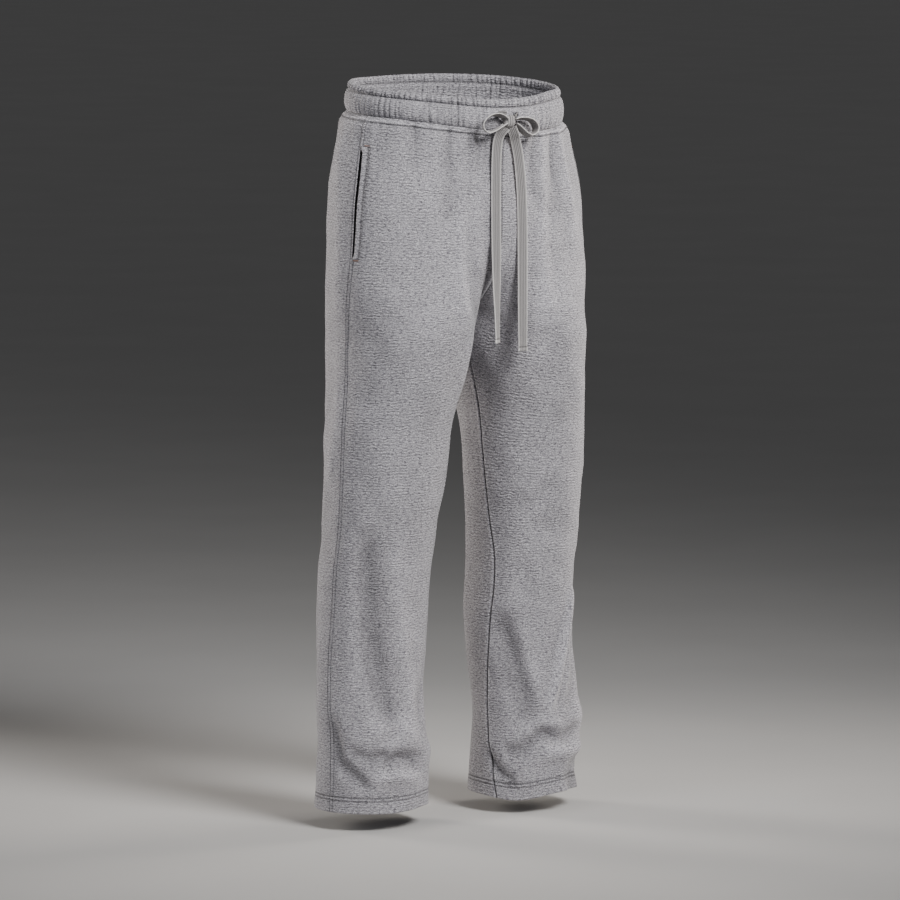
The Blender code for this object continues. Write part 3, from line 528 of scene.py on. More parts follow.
LOOP_LEFT = table(
    STRETCH_COLUMNS,
    [
        (7.4, -137.5, -14.6, 0.06, -0.95, 0.30),
        (14.0, -138.0, -13.2, 0.06, -0.95, 0.30),
        (24.0, -137.6, -13.2, 0.08, -0.95, 0.28),
        (35.0, -136.4, -15.4, 0.12, -0.95, 0.24),
        (43.5, -134.8, -20.4, 0.16, -0.96, 0.20),
        (47.5, -134.0, -27.2, 0.16, -0.96, 0.20),
        (46.0, -133.6, -34.2, 0.12, -0.96, 0.22),
        (39.0, -133.6, -38.4, 0.06, -0.96, 0.24),
        (30.0, -134.4, -35.6, 0.02, -0.96, 0.26),
        (20.5, -135.8, -29.0, 0.00, -0.96, 0.28),
        (13.0, -137.0, -23.6, 0.00, -0.96, 0.28),
        (7.6, -137.6, -20.6, 0.00, -0.96, 0.28),
    ],
)
LEAD_RIGHT = table(
    STRETCH_COLUMNS,
    [
        (-16.2, -132.6, -5.4, -0.20, -0.25, 0.93),
        (-10.5, -133.6, -4.4, -0.22, -0.25, 0.93),
        (-4.4, -135.3, -5.8, -0.25, -0.25, 0.93),
    ],
)
LEAD_LEFT = table(
    STRETCH_COLUMNS,
    [
        (16.2, -132.2, -6.6, 0.30, -0.25, 0.92),
        (12.5, -134.6, -8.0, 0.35, -0.35, 0.87),
        (8.4, -136.0, -10.2, 0.42, -0.30, 0.86),
    ],
)
KNOT_CENTRE = (0, -136.2 * MM, -17 * MM)
KNOT_HALF_SIZE = (9.2 * MM, 5.9 * MM, 9.3 * MM)
EYELET_OFFSET = 16 * MM
EYELET_Z = -8.0 * MM
EYELET_RADIUS = 3.8 * MM

# --- Sizes and colours that a user would change ---------------------------------------------------------------


class SweatpantsCloth(bpy.types.PropertyGroup):
    """The fleece and how finely it is made."""

    thickness: bpy.props.FloatProperty(
        name="Cloth thickness", description="Thickness of the fleece", default=2.0 * MM, subtype="DISTANCE"
    )
    hem_thickness: bpy.props.FloatProperty(
        name="Hem thickness", description="Thickness of the turned-up hem", default=4.0 * MM, subtype="DISTANCE"
    )
    hem_height: bpy.props.FloatProperty(
        name="Hem height", description="Height of the turned-up hem", default=21 * MM, subtype="DISTANCE"
    )
    cell: bpy.props.FloatProperty(
        name="Cell", description="Side of the mesh's cells on plain cloth", default=3.4 * MM, subtype="DISTANCE"
    )
    fine_cell: bpy.props.FloatProperty(
        name="Fine cell", description="Side of the cells beside seams", default=0.7 * MM, subtype="DISTANCE"
    )
    marl: bpy.props.FloatVectorProperty(
        name="Marl", description="Mean colour of the marl", default=(0.38, 0.37, 0.40), subtype="COLOR", size=3
    )
    dark_fibre: bpy.props.FloatVectorProperty(
        name="Dark fibre",
        description="Colour of the dark flecks",
        default=(0.14, 0.132, 0.155),
        subtype="COLOR",
        size=3,
    )
    light_fibre: bpy.props.FloatVectorProperty(
        name="Light fibre",
        description="Colour of the light flecks",
        default=(0.66, 0.65, 0.68),
        subtype="COLOR",
        size=3,
    )


class SweatpantsTrim(bpy.types.PropertyGroup):
    """The drawstring's tape and the sewing thread."""

    tape_width: bpy.props.FloatProperty(
        name="Tape width", description="Width of the flat drawstring", default=14.5 * MM, subtype="DISTANCE"
    )
    tape_thickness: bpy.props.FloatProperty(
        name="Tape thickness", description="Thickness of the drawstring", default=1.5 * MM, subtype="DISTANCE"
    )
    lead_width: bpy.props.FloatProperty(
        name="Lead width", description="Width of the tape where it is squeezed", default=7 * MM, subtype="DISTANCE"
    )
    ribs: bpy.props.IntProperty(name="Ribs", description="Ribs along the tape", default=6, min=2, max=12)
    tape: bpy.props.FloatVectorProperty(
        name="Tape", description="Colour of the tape", default=(0.375, 0.36, 0.36), subtype="COLOR", size=3
    )
    tape_edge: bpy.props.FloatVectorProperty(
        name="Tape edge",
        description="Colour of the tape's edges",
        default=(0.72, 0.70, 0.69),
        subtype="COLOR",
        size=3,
    )
    stitch: bpy.props.FloatProperty(
        name="Stitch length", description="Length of one stitch", default=3.4 * MM, subtype="DISTANCE"
    )
    thread_width: bpy.props.FloatProperty(
        name="Thread width", description="Width of the sewing thread", default=0.6 * MM, subtype="DISTANCE"
    )
    thread: bpy.props.FloatVectorProperty(
        name="Thread", description="Colour of the thread", default=(0.42, 0.41, 0.44), subtype="COLOR", size=3
    )
    tack: bpy.props.FloatVectorProperty(
        name="Tack", description="Colour of the bartacks", default=(0.24, 0.13, 0.09), subtype="COLOR", size=3
    )
    # The eyelets' thread is near-black: painted shade for the dark ring that each eyelet shows.
    eyelet: bpy.props.FloatVectorProperty(
        name="Eyelet",
        description="Colour of the eyelets' thread",
        default=(0.03, 0.03, 0.035),
        subtype="COLOR",
        size=3,
    )


class SweatpantsStage(bpy.types.PropertyGroup):
    """The camera, the floor and the lights."""

    turn: bpy.props.FloatProperty(
        name="Turn",
        description="How far the camera stands round from the front",
        default=math.radians(-35),
        subtype="ANGLE",
    )
    elevation: bpy.props.FloatProperty(
        name="Elevation", description="How far the camera looks down", default=math.radians(6.5), subtype="ANGLE"
    )
    distance: bpy.props.FloatProperty(
        name="Distance", description="From the camera to the garment", default=9.0, subtype="DISTANCE"
    )
    lens: bpy.props.FloatProperty(
        name="Lens", description="Focal length on a 36 mm sensor", default=248.4, unit="CAMERA"
    )
    aim_height: bpy.props.FloatProperty(
        name="Aim height", description="Height that the camera looks at", default=-0.5, subtype="DISTANCE"
    )
    aim_aside: bpy.props.FloatProperty(
        name="Aim aside", description="How far to the camera's right it looks", default=-0.0064, subtype="DISTANCE"
    )
    floor_below: bpy.props.FloatProperty(
        name="Floor below", description="Gap between the lowest hem and the floor", default=0.02, subtype="DISTANCE"
    )
    floor: bpy.props.FloatVectorProperty(
        name="Floor", description="Colour of the floor", default=(0.60, 0.59, 0.58), subtype="COLOR", size=3
    )
    key: bpy.props.FloatProperty(name="Key light", description="Strength of the key light", default=19, unit="POWER")
    fill: bpy.props.FloatProperty(name="Fill light", description="Strength of the fill", default=4.0, unit="POWER")
    rim: bpy.props.FloatProperty(name="Rim lights", description="Strength of each rim light", default=7, unit="POWER")


# --- Curves and sections ----------------------------------------------------------------------------------------


def curve_through(knots, values, at):
    """Value of a smooth curve through the knots: cubics with the slopes of their neighbours."""
    slopes = np.gradient(values, knots)
    lower = np.clip(np.searchsorted(knots, at) - 1, 0, len(knots) - 2)
    span = knots[lower + 1] - knots[lower]
    t = np.clip((at - knots[lower]) / span, 0, 1)
    start = values[lower] * (1 + 2 * t) * (1 - t) ** 2 + slopes[lower] * span * t * (1 - t) ** 2
    end = values[lower + 1] * t**2 * (3 - 2 * t) - slopes[lower + 1] * span * t**2 * (1 - t)
    return start + end


def smooth(source, column, drop):
    """A table's column at these drops, on a smooth curve through its rows."""
    return curve_through(source["drop"] * MM, source[column], drop)


def quarter_girth(drop):
    """How much cloth lies between a side seam and the centre seam or inseam, on one panel."""
    return smooth(HALF_GIRTH, "length", drop) * MM / 2


def fade(value, start, end):
    """1 at start and 0 at end, on a smooth step."""
    t = np.clip((value - start) / (end - start), 0, 1)
    return 1 - t * t * (3 - 2 * t)


def bump(distance, half_width):
    """1 at no distance, falling softly to 0 past the half width."""
    return np.exp(-((distance / half_width) ** 2))


def unit(vectors):
    return vectors / np.linalg.norm(vectors, axis=-1, keepdims=True)


def oval(angle, outer, inner, front, back, fullness):
    """A point of an oval and the way the oval faces there; the angle is 0 to the front, 90 degrees outwards."""
    width = np.where(np.sin(angle) > 0, outer, inner)
    depth = np.where(np.cos(angle) > 0, front, back)
    across = np.abs(np.sin(angle) / width) ** fullness
    along = np.abs(np.cos(angle) / depth) ** fullness
    reach = (across + along) ** (-1 / fullness)
    point = np.stack(np.broadcast_arrays(reach * np.sin(angle), -reach * np.cos(angle)))
    facing = np.stack(np.broadcast_arrays(np.sin(angle) / width**2, -np.cos(angle) / depth**2))
    return point, facing


def section(face, across, drop):
    """Level position and facing on one half of the garment, with x outwards.

    across runs from 0 at the centre seam and inseam to 1 at the side seam, over the face "front" or "back".
    """
    forward = face == "front"
    side_angle = math.pi / 2 - np.radians(smooth(SEAMS, "side_turn", drop))
    inseam_angle = np.radians(smooth(SEAMS, "inseam_turn", drop)) - math.pi / 2
    seat_start = 0 if forward else math.pi
    leg_start = inseam_angle if forward else inseam_angle + 2 * math.pi

    width, front, back = (smooth(SEAT, name, drop) * MM for name in ("half_width", "front", "back"))
    angle = seat_start + across * (side_angle - seat_start)
    fullness = [smooth(SEAT, name + "_fullness", drop) for name in ("front", "back")]
    fullness = np.where(np.cos(angle) > 0, *fullness)
    seat, seat_facing = oval(angle, width, width, front, back, fullness)

    reach = (smooth(LEG, name, drop) * MM for name in ("outer", "inner", "front", "back"))
    leg, leg_facing = oval(leg_start + across * (side_angle - leg_start), *reach, LEG_FULLNESS)
    leg[0] += smooth(LEG, "centre_x", drop) * MM
    leg[1] += smooth(LEG, "centre_y", drop) * MM

    shares = {name: smooth(RISE, name + "_share", drop) for name in ("front", "back")}
    at_side = (shares["front"] + shares["back"]) / 2
    share = shares[face] + (at_side - shares[face]) * across**3
    facing = seat_facing * (1 - share) + leg_facing * share
    return seat * (1 - share) + leg * share, facing / np.linalg.norm(facing, axis=0)


def waist_rise(angle, share):
    """How much higher than a level oval the waist runs: share is 0 at the waistband's seam and 1 at its rim."""
    seam, rim = (curve_through(WAIST["angle"], WAIST[name], np.degrees(angle)) * MM for name in ("seam", "rim"))
    return seam + (rim - seam) * share


# --- Relief of the cloth ----------------------------------------------------------------------------------------


def girth_of(face, across):
    return across / 2 if face == "front" else 1 - across / 2


def ridge(width_place, drop, places, half_width):
    """A soft ridge of height 1 along three places, fading to its ends."""
    nearest, along = math.inf, 0
    for leg, (start, end) in enumerate(zip(places, places[1:])):
        run = end - start
        t = ((width_place - start[0]) * run[0] + (drop - start[1]) * run[1]) / (run @ run)
        t = np.clip(t, 0, 1)
        distance = np.hypot(width_place - start[0] - t * run[0], drop - start[1] - t * run[1])
        along = np.where(distance < nearest, (leg + t) / 2, along)
        nearest = np.minimum(nearest, distance)
    return bump(nearest, half_width) * (1 - (2 * along - 1) ** 4)


def fold_relief(source, side, face, across, drop):
    """How far a table's folds push the cloth outwards."""
    girth = girth_of(face, across)
    relief = 0
    for fold in zip(*source.values()):
        if fold[0] != side:
            continue
        drops = np.array(fold[2:8:2]) * MM
        girths = np.array(fold[1:7:2])
        height, half_width = np.array(fold[7:]) * MM
        turns = (-1, 0, 1) if drops.min() > CROTCH_DROP else (0,)
        half_girth = smooth(HALF_GIRTH, "length", drops[1]) * MM
        for turn in turns:
            places = np.stack([(girths + turn) * half_girth, drops], axis=-1)
            relief = relief + height * ridge(girth * half_girth, drop, places, half_width)
    return relief


def all_folds(side, face, across, drop):
    """How far the folds and the creases that ride on them push the cloth outwards."""
    return sum(fold_relief(source, side, face, across, drop) for source in (FOLDS, CREASES))


PUCKERS = 17
PUCKER_DEPTH = (0.5 * MM, 1.9 * MM)
PUCKER_HALF_WIDTH = (3.0 * MM, 6.5 * MM)
PUCKER_LENGTH = (16 * MM, 110 * MM)


def pucker_relief(side, face, across, drop):
    """Small gathers that run down from the waistband, fewer towards the centre front."""
    draw = np.random.default_rng([21, side + 1, len(face)])
    quarter = quarter_girth(PANEL_TOP)
    relief = 0
    for place in (np.arange(PUCKERS) + draw.uniform(0.15, 0.85, PUCKERS)) / PUCKERS:
        depth, half_width, length = (draw.uniform(*span) for span in (PUCKER_DEPTH, PUCKER_HALF_WIDTH, PUCKER_LENGTH))
        depth = depth * (0.35 + 0.65 * place if face == "front" else 1)
        away = (across - place - draw.uniform(-0.02, 0.02) * drop / PUCKER_LENGTH[1]) * quarter
        relief = relief - depth * bump(away, half_width) * fade(drop, PANEL_TOP, PANEL_TOP + length)
    return relief


WAVES = 26
WAVE_HEIGHT = 0.16 * MM
WAVE_LENGTH = (0.035, 0.14)


def wave_relief(side, face, across, drop):
    """Broad, faint unevenness of hanging cloth, fading out at the seams."""
    draw = np.random.default_rng([5, side + 1, len(face)])
    place = across * quarter_girth(drop)
    relief = 0
    for _ in range(WAVES):
        turn, phase = draw.uniform(0, math.tau, 2)
        pitch = math.tau / draw.uniform(*WAVE_LENGTH)
        relief = relief + np.cos((place * math.cos(turn) + drop * math.sin(turn)) * pitch + phase)
    return relief * WAVE_HEIGHT * (1 - (2 * across - 1) ** 8)


STRIP_BOTTOM = 30.8 * MM
STRIP_TOP = 24.6 * MM
STRIP_RAISE = 1.5 * MM
TUCK = 2.6 * MM
STITCH_GROOVE = 0.8 * MM
SIDE_ROW = 2.7 * MM
CENTRE_ROW = 1.9 * MM
HEM_ROWS = (986.8 * MM, 991.8 * MM)


def seam_places(across, drop):
    """Distances from the side seam and from the centre, and 1 below the crotch or 0 above it."""
    quarter = quarter_girth(drop)
    below_crotch = 1 - fade(drop, CROTCH_DROP - 25 * MM, CROTCH_DROP + 10 * MM)
    return (1 - across) * quarter, across * quarter, below_crotch


def seam_relief(across, drop):
    """The strip under the band, the ridge of each topstitched seam, the dip of each plain one and the hem."""
    from_side, from_centre, below_crotch = seam_places(across, drop)
    relief = STRIP_RAISE * fade(drop, STRIP_BOTTOM, STRIP_BOTTOM + 1.0 * MM) - TUCK * bump(drop - PANEL_TOP, 1.7 * MM)
    relief = relief - STITCH_GROOVE * bump(drop - STRIP_BOTTOM + 1.0 * MM, 0.8 * MM)
    relief = relief + 0.8 * MM * bump(from_side, 2.1 * MM) - 0.6 * MM * bump(from_side, 0.5 * MM)
    relief = relief - STITCH_GROOVE * bump(from_side - SIDE_ROW, 0.9 * MM)
    topstitched = 1 - below_crotch
    relief = relief + topstitched * 0.5 * MM * bump(from_centre, 1.6 * MM)
    relief = relief - topstitched * STITCH_GROOVE * bump(from_centre - CENTRE_ROW, 0.8 * MM)
    relief = relief + below_crotch * 0.5 * MM * bump(from_centre - 3.5 * MM, 2.4 * MM)
    relief = relief - (0.5 + 1.1 * below_crotch) * MM * bump(from_centre, 1.1 * MM)
    relief = relief + 0.45 * MM * (1 - fade(drop, HEM_ROWS[0], HEM_ROWS[0] + 3 * MM))
    for row in HEM_ROWS:
        relief = relief - STITCH_GROOVE * bump(drop - row, 0.9 * MM)
    return relief


# Painted shade of the folds: the relief of a fold whose shade would be 1, and the least and most that folds shade
# (below 0 is a painted highlight)
FOLD_SHADE = 15 * MM
FOLD_SHADE_SPAN = (-0.2, 0.4)


def seam_shade(side, face, across, drop):
    """Shade painted on a panel by how deep in a seam, a stitch row or a fold the cloth lies: 1 in a seam, and below
    0, a painted highlight, where it stands out.
    """
    from_side, from_centre, below_crotch = seam_places(across, drop)
    above = 1 - below_crotch
    # Painted shade in the stitch rows, in the tuck under the band, along the seams and beside the welt.
    shades = [bump(drop - STRIP_BOTTOM + 0.6 * MM, 1.2 * MM), fade(drop, PANEL_TOP, PANEL_TOP + 2.8 * MM)]
    shades += [bump(drop - row, 1.1 * MM) for row in HEM_ROWS]
    shades += [0.8 * bump(from_side - SIDE_ROW, 0.9 * MM)]
    shades += [below_crotch * bump(from_centre, 1.2 * MM), above * 0.7 * bump(from_centre, 0.7 * MM)]
    shades += [above * bump(from_centre - CENTRE_ROW, 0.9 * MM)]
    if face == "front":
        beside = (drop > POCKET_FROM) & (drop < POCKET_TO)
        from_welt = (across - welt_from(drop)) * quarter_girth(drop)
        shades += [beside * 0.7 * bump(from_welt + 0.6 * MM, 2.0 * MM)]
    from_strip = drop - (PANEL_TOP + STRIP_BOTTOM) / 2 - 1 * MM
    # Painted highlights on the side seam's ridge, the strip under the band and the inseam's ridge.
    lights = [0.35 * bump(from_side, 1.2 * MM), 0.25 * bump(from_strip, 2.4 * MM)]
    lights += [0.3 * below_crotch * bump(from_centre - 3.2 * MM, 1.4 * MM)]
    dark, light = (np.maximum.reduce(np.broadcast_arrays(*parts)) for parts in (shades, lights))
    # Painted shade in the folds' troughs, and painted highlight on their ridges.
    folded = np.clip(-all_folds(side, face, across, drop) / FOLD_SHADE, *FOLD_SHADE_SPAN)
    return dark - light * (1 - dark) + folded


def hem_dip(side, face, across, drop):
    """How far down the hem and the cloth over it sag."""
    girth = girth_of(face, across)
    dip = 0
    for of_side, middle, depth, half_width in zip(*HEMS.values()):
        if of_side == side:
            away = np.minimum(np.abs(girth - middle), 1 - np.abs(girth - middle))
            dip = dip + depth * MM * bump(away, half_width)
    return dip * fade(OUTSEAM - drop, 0, 90 * MM)


def panel_surface(side, face, across, drop):
    """Points of a panel's outer surface, for arrays of across and drop that fit together."""
    across, drop = np.asarray(across), np.asarray(drop)
    point, facing = section(face, across, drop)
    (centre_x, _), _ = section(face, 0 * across, drop)
    relief = all_folds(side, face, across, drop)
    relief = relief + pucker_relief(side, face, across, drop) + wave_relief(side, face, across, drop)
    relief = relief + seam_relief(across, drop)
    x, y = point + facing * relief
    x = x - centre_x * (1 - across) ** 4 * fade(drop, CROTCH_DROP, CROTCH_DROP + 90 * MM)
    row_drop = drop + (smooth(RISE, "inner_drop", drop) * MM - drop) * (1 - across) ** 2
    rise = y * BAND_TILT + waist_rise(np.arctan2(side * x, -y), 0)
    z = -row_drop - hem_dip(side, face, across, drop) + rise * fade(drop, -BAND_BOTTOM, TILT_ENDS_AT)
    return np.stack(np.broadcast_arrays(side * (np.maximum(x, 0) + SEAM_GAP / 2), y, z), axis=-1)


def inwards(side, face, surface):
    """Unit directions into the garment at the points of a panel's outer surface."""
    down = np.gradient(surface, axis=0, edge_order=2)
    along = np.gradient(surface, axis=1, edge_order=2)
    across = np.cross(down, along) if (side == RIGHT) == (face == "front") else np.cross(along, down)
    return unit(across)


# --- Meshes -----------------------------------------------------------------------------------------------------


def add_object(name, vertices, faces, finish, replaced=(), uv=None, shade=None):
    """A smooth mesh object on the garment's body, with its finish, the cloth's own places and the shade painted on
    it.
    """
    mesh = bpy.data.meshes.new(name)
    mesh.from_pydata([tuple(v) for v in vertices], [], faces)
    if uv is not None:
        layer = mesh.uv_layers.new(name="cloth")
        corners = np.empty(len(mesh.loops), np.int32)
        mesh.loops.foreach_get("vertex_index", corners)
        layer.data.foreach_set("uv", np.ascontiguousarray(np.asarray(uv)[corners], np.float32).ravel())
    # The shade painted on the piece: above 0 darkens its colour, below 0 lightens it.
    if shade is not None:
        layer = mesh.attributes.new("seam_shade", "FLOAT", "POINT")
        layer.data.foreach_set("value", np.ascontiguousarray(shade, np.float32).ravel())
    mesh.validate()
    obj = bpy.data.objects.new(name, mesh)
    bpy.context.scene.collection.objects.link(obj)
    obj.data.materials.append(finish)
    face_outwards(obj)
    return dress(obj, replaced)


def dress(obj, replaced=()):
    """Shade a piece smooth and tie it to the garment: its body and the solids it stands for."""
    obj.data.shade_smooth()
    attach(obj, BODY)
    if replaced:
        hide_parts(*replaced)
    return obj


def face_outwards(obj):
    mesh = bmesh.new()
    mesh.from_mesh(obj.data)
    bmesh.ops.recalc_face_normals(mesh, faces=mesh.faces)
    mesh.to_mesh(obj.data)
    mesh.free()


def quads(corner):
    """Four-sided faces between the neighbours in a grid of vertex numbers."""
    around = [corner[:-1, :-1], corner[1:, :-1], corner[1:, 1:], corner[:-1, 1:]]
    return np.stack(around, axis=-1).reshape(-1, 4)


def grid_faces(rows, columns, start=0, flipped=False):
    faces = quads(np.arange(rows * columns).reshape(rows, columns) + start)
    return (faces[:, ::-1] if flipped else faces).tolist()


def tube_faces(rows, ring, looped=False):
    """Faces of a tube of rings; a looped one joins its last ring to its first."""
    corner = np.arange(rows * ring).reshape(rows, ring)
    if looped:
        corner = np.concatenate([corner, corner[:1]])
    return quads(np.concatenate([corner, corner[:, :1]], axis=1)).tolist()


def border_of(rows, columns):
    border = list(range(columns))
    border += [r * columns + columns - 1 for r in range(1, rows)]
    border += [(rows - 1) * columns + c for c in range(columns - 2, -1, -1)]
    return border + [r * columns for r in range(rows - 2, 0, -1)]


def shell(name, outer, inner, uv, finish, slot, replaced, shade=None):
    """A closed wall between two grids of points, with a rim round its border."""
    rows, columns, _ = outer.shape
    count = rows * columns
    faces = grid_faces(rows, columns) + grid_faces(rows, columns, count, flipped=True)
    border = border_of(rows, columns)
    faces += [(a, b, b + count, a + count) for a, b in zip(border, border[1:] + border[:1])]
    points = np.concatenate([outer.reshape(-1, 3), inner.reshape(-1, 3)])
    places = np.concatenate([uv.reshape(-1, 2)] * 2)
    shade = np.zeros((rows, columns)) if shade is None else shade
    return add_object(name, points, faces, finish, replaced, places, np.stack([shade, shade * 0]))


def welt_from(drop):
    """across of a welt's front edge."""
    return WELT_FROM_ACROSS + WELT_SLANT * (drop - POCKET_FROM) / (POCKET_TO - POCKET_FROM)


def cloth_places(surface, drop, from_side):
    """The cloth's own coordinates of a panel's points in metres: across from the side seam, and down."""
    steps = np.linalg.norm(np.diff(surface, axis=1), axis=-1)
    across = np.concatenate([np.zeros((len(surface), 1)), np.cumsum(steps, axis=1)], axis=1)
    across = (across - across[:, -1:]) * from_side
    return np.stack([across, np.broadcast_to(drop[:, None], across.shape)], axis=-1)


def spaced(start, end, cell, fine, fine_cell):
    """Places from start to end, a cell apart, and a fine cell apart within each of the fine spans."""
    places = [start]
    while places[-1] < end:
        here = places[-1]
        near = min((max(low - here, here - high, 0) for low, high in fine), default=math.inf)
        places.append(here + min(cell, fine_cell + near * 0.45))
    places = np.array(places)
    return start + (places - start) * (end - start) / (places[-1] - start)


# A panel's mean width along the cloth, and how far from its edges its columns stay close together
MEAN_QUARTER = 0.262
FINE_MARGIN = 5 * MM


def panel_rows(cloth):
    """Drops of a panel's rows, closer under the band, at the hem's stitches and at its edge."""
    under_band = (PANEL_TOP, STRIP_BOTTOM + 2.5 * MM)
    hem_stitches = (HEM_ROWS[0] - 2 * MM, HEM_ROWS[1] + 2 * MM)
    hem_edge = (OUTSEAM - 2 * MM, OUTSEAM)
    return spaced(PANEL_TOP, OUTSEAM, cloth.cell, [under_band, hem_stitches, hem_edge], cloth.fine_cell)


def panel_columns(cloth):
    fine = [(0, FINE_MARGIN), (MEAN_QUARTER - FINE_MARGIN, MEAN_QUARTER)]
    return spaced(0, MEAN_QUARTER, cloth.cell, fine, cloth.fine_cell) / MEAN_QUARTER


POCKET_MOUTH = 3.5 * MM
POCKET_SAG = 1.2 * MM
MOUTH_END = 9 * MM


def mouth(drop):
    """How far the front panel's edge stands back from the side seam, over the pocket's mouth."""
    opened = POCKET_MOUTH + POCKET_SAG * bump(drop - 115 * MM, 40 * MM)
    past_top = fade(drop, POCKET_FROM + MOUTH_END, POCKET_FROM)
    return opened * past_top * fade(drop, POCKET_TO - MOUTH_END, POCKET_TO)


def front_edge(across, drop):
    """across of a front panel's columns, drawn back from the side seam over the pocket's mouth."""
    quarter = quarter_girth(drop)
    return across - across**24 * mouth(drop) / quarter


def make_panels(cloth, finish):
    drop = panel_rows(cloth)
    thickness = cloth.thickness + (cloth.hem_thickness - cloth.thickness) * (
        1 - fade(drop, OUTSEAM - cloth.hem_height, OUTSEAM - cloth.hem_height + 2 * MM)
    )
    across = panel_columns(cloth)
    gap = SEAM_GAP / (smooth(HALF_GIRTH, "length", CROTCH_DROP) * MM)
    across[0] += gap
    across[-1] -= gap
    below_crotch = drop >= CROTCH_DROP
    for side_name, side in SIDES.items():
        outer, grids = {}, {}
        for face in ("front", "back"):
            columns, rows = np.broadcast_arrays(across[None, :], drop[:, None])
            columns = front_edge(columns, rows) if face == "front" else columns
            outer[face] = panel_surface(side, face, columns, rows)
            grids[face] = columns, rows
        inward = {face: inwards(side, face, surface) for face, surface in outer.items()}
        at_inseam = unit(inward["front"][:, 0] + inward["back"][:, 0])
        for face in ("front", "back"):
            inward[face][below_crotch, 0] = at_inseam[below_crotch]
            inner = outer[face] + inward[face] * thickness[:, None, None]
            inner[..., 0] = side * np.maximum(side * inner[..., 0], SEAM_GAP / 2)
            round_rims(outer[face], inner, inward[face])
            uv = cloth_places(outer[face], drop, -1 if face == "front" else 1)
            name = f"{face}_{side_name}"
            shade = seam_shade(side, face, *grids[face])
            panel = shell(f"{name}_cloth", outer[face], inner, uv, finish, "fleece", [name], shade)


def round_rims(outer, inner, inward):
    """Draws the hem's last row in a little on both faces, so that its edge is rounded."""
    lip = 0.8 * MM
    outer[-1] += inward[-1] * lip
    inner[-1] -= inward[-1] * lip


# --- Waistband --------------------------------------------------------------------------------------------------

BAND_COLUMNS = 1040
BAND_ROWS = 58
TOP_PITCH = 7.6 * MM
TOP_DEPTH = (1.3 * MM, 2.5 * MM)
FINE_PITCH = 8.5 * MM
FINE_DEPTH = (0.3 * MM, 1.3 * MM)

GATHER_HALF_WIDTH = (1.2, 2.1)
GATHER_SCALE = 0.75
GATHER_IN_TOP = 0.3
# Depth of a gather whose painted shade would be 1: painted shade in the gathers.
GATHER_SHADE = 5.0 * MM


def in_stretches(degrees, stretches):
    """1 inside the stretches of the waist's angle, softly 0 outside."""
    inside = 0
    for low, high in stretches:
        inside = np.maximum(inside, fade(degrees, high - 3, high + 3) * (1 - fade(degrees, low - 3, low + 3)))
    return inside


def gather_relief(arc, degrees, lean):
    """Relief of the waistband's gathers in its top channel and its band, along the ring's arc length."""
    draw = np.random.default_rng(11)
    length = arc[-1] + arc[1] - arc[0]
    plain = in_stretches(degrees, PLAIN_STRETCHES)
    reliefs = []
    for pitch, depths, quiet in ((TOP_PITCH, TOP_DEPTH, 0.25), (FINE_PITCH, FINE_DEPTH, 0.6)):
        count = round(length / pitch)
        middles = (np.arange(count) + draw.uniform(-0.3, 0.3, count)) * length / count
        relief = 0
        for middle, depth in zip(middles, draw.uniform(*depths, count)):
            away = (arc + lean * draw.uniform(-0.6, 0.6) - middle + length / 2) % length - length / 2
            relief = relief - depth * bump(away, draw.uniform(*GATHER_HALF_WIDTH) * MM)
        reliefs.append(relief * (1 - quiet * plain))
    own = np.interp(GATHERS["angle"], degrees[0] if degrees.ndim > 1 else degrees, arc[0] if arc.ndim > 1 else arc)
    for middle, depth, half_width, tilt in zip(own, GATHERS["depth"], GATHERS["half_width"], GATHERS["lean"]):
        away = (arc + lean * tilt - middle + length / 2) % length - length / 2
        pinch = np.exp(-np.abs(away / (GATHER_SCALE * half_width * MM)) ** 1.4)
        reliefs[1] = reliefs[1] - GATHER_SCALE * depth * MM * pinch
        reliefs[0] = reliefs[0] - GATHER_IN_TOP * depth * MM * bump(away, half_width * MM)
    return reliefs


def band_profile(rows):
    """The waistband's profile columns at evenly spaced places round its section."""
    knots = np.stack([BAND_PROFILE["height"], BAND_PROFILE["half_width"]], axis=-1)
    closed = {name: np.append(values, values[0]) for name, values in BAND_PROFILE.items()}
    steps = np.linalg.norm(np.diff(np.concatenate([knots, knots[:1]]), axis=0), axis=1)
    knots_at = np.concatenate([[0], np.cumsum(steps)])
    at = np.linspace(0, knots_at[-1], rows, endpoint=False)
    return {name: curve_through(knots_at, values, at) for name, values in closed.items()}, at * MM, knots_at * MM


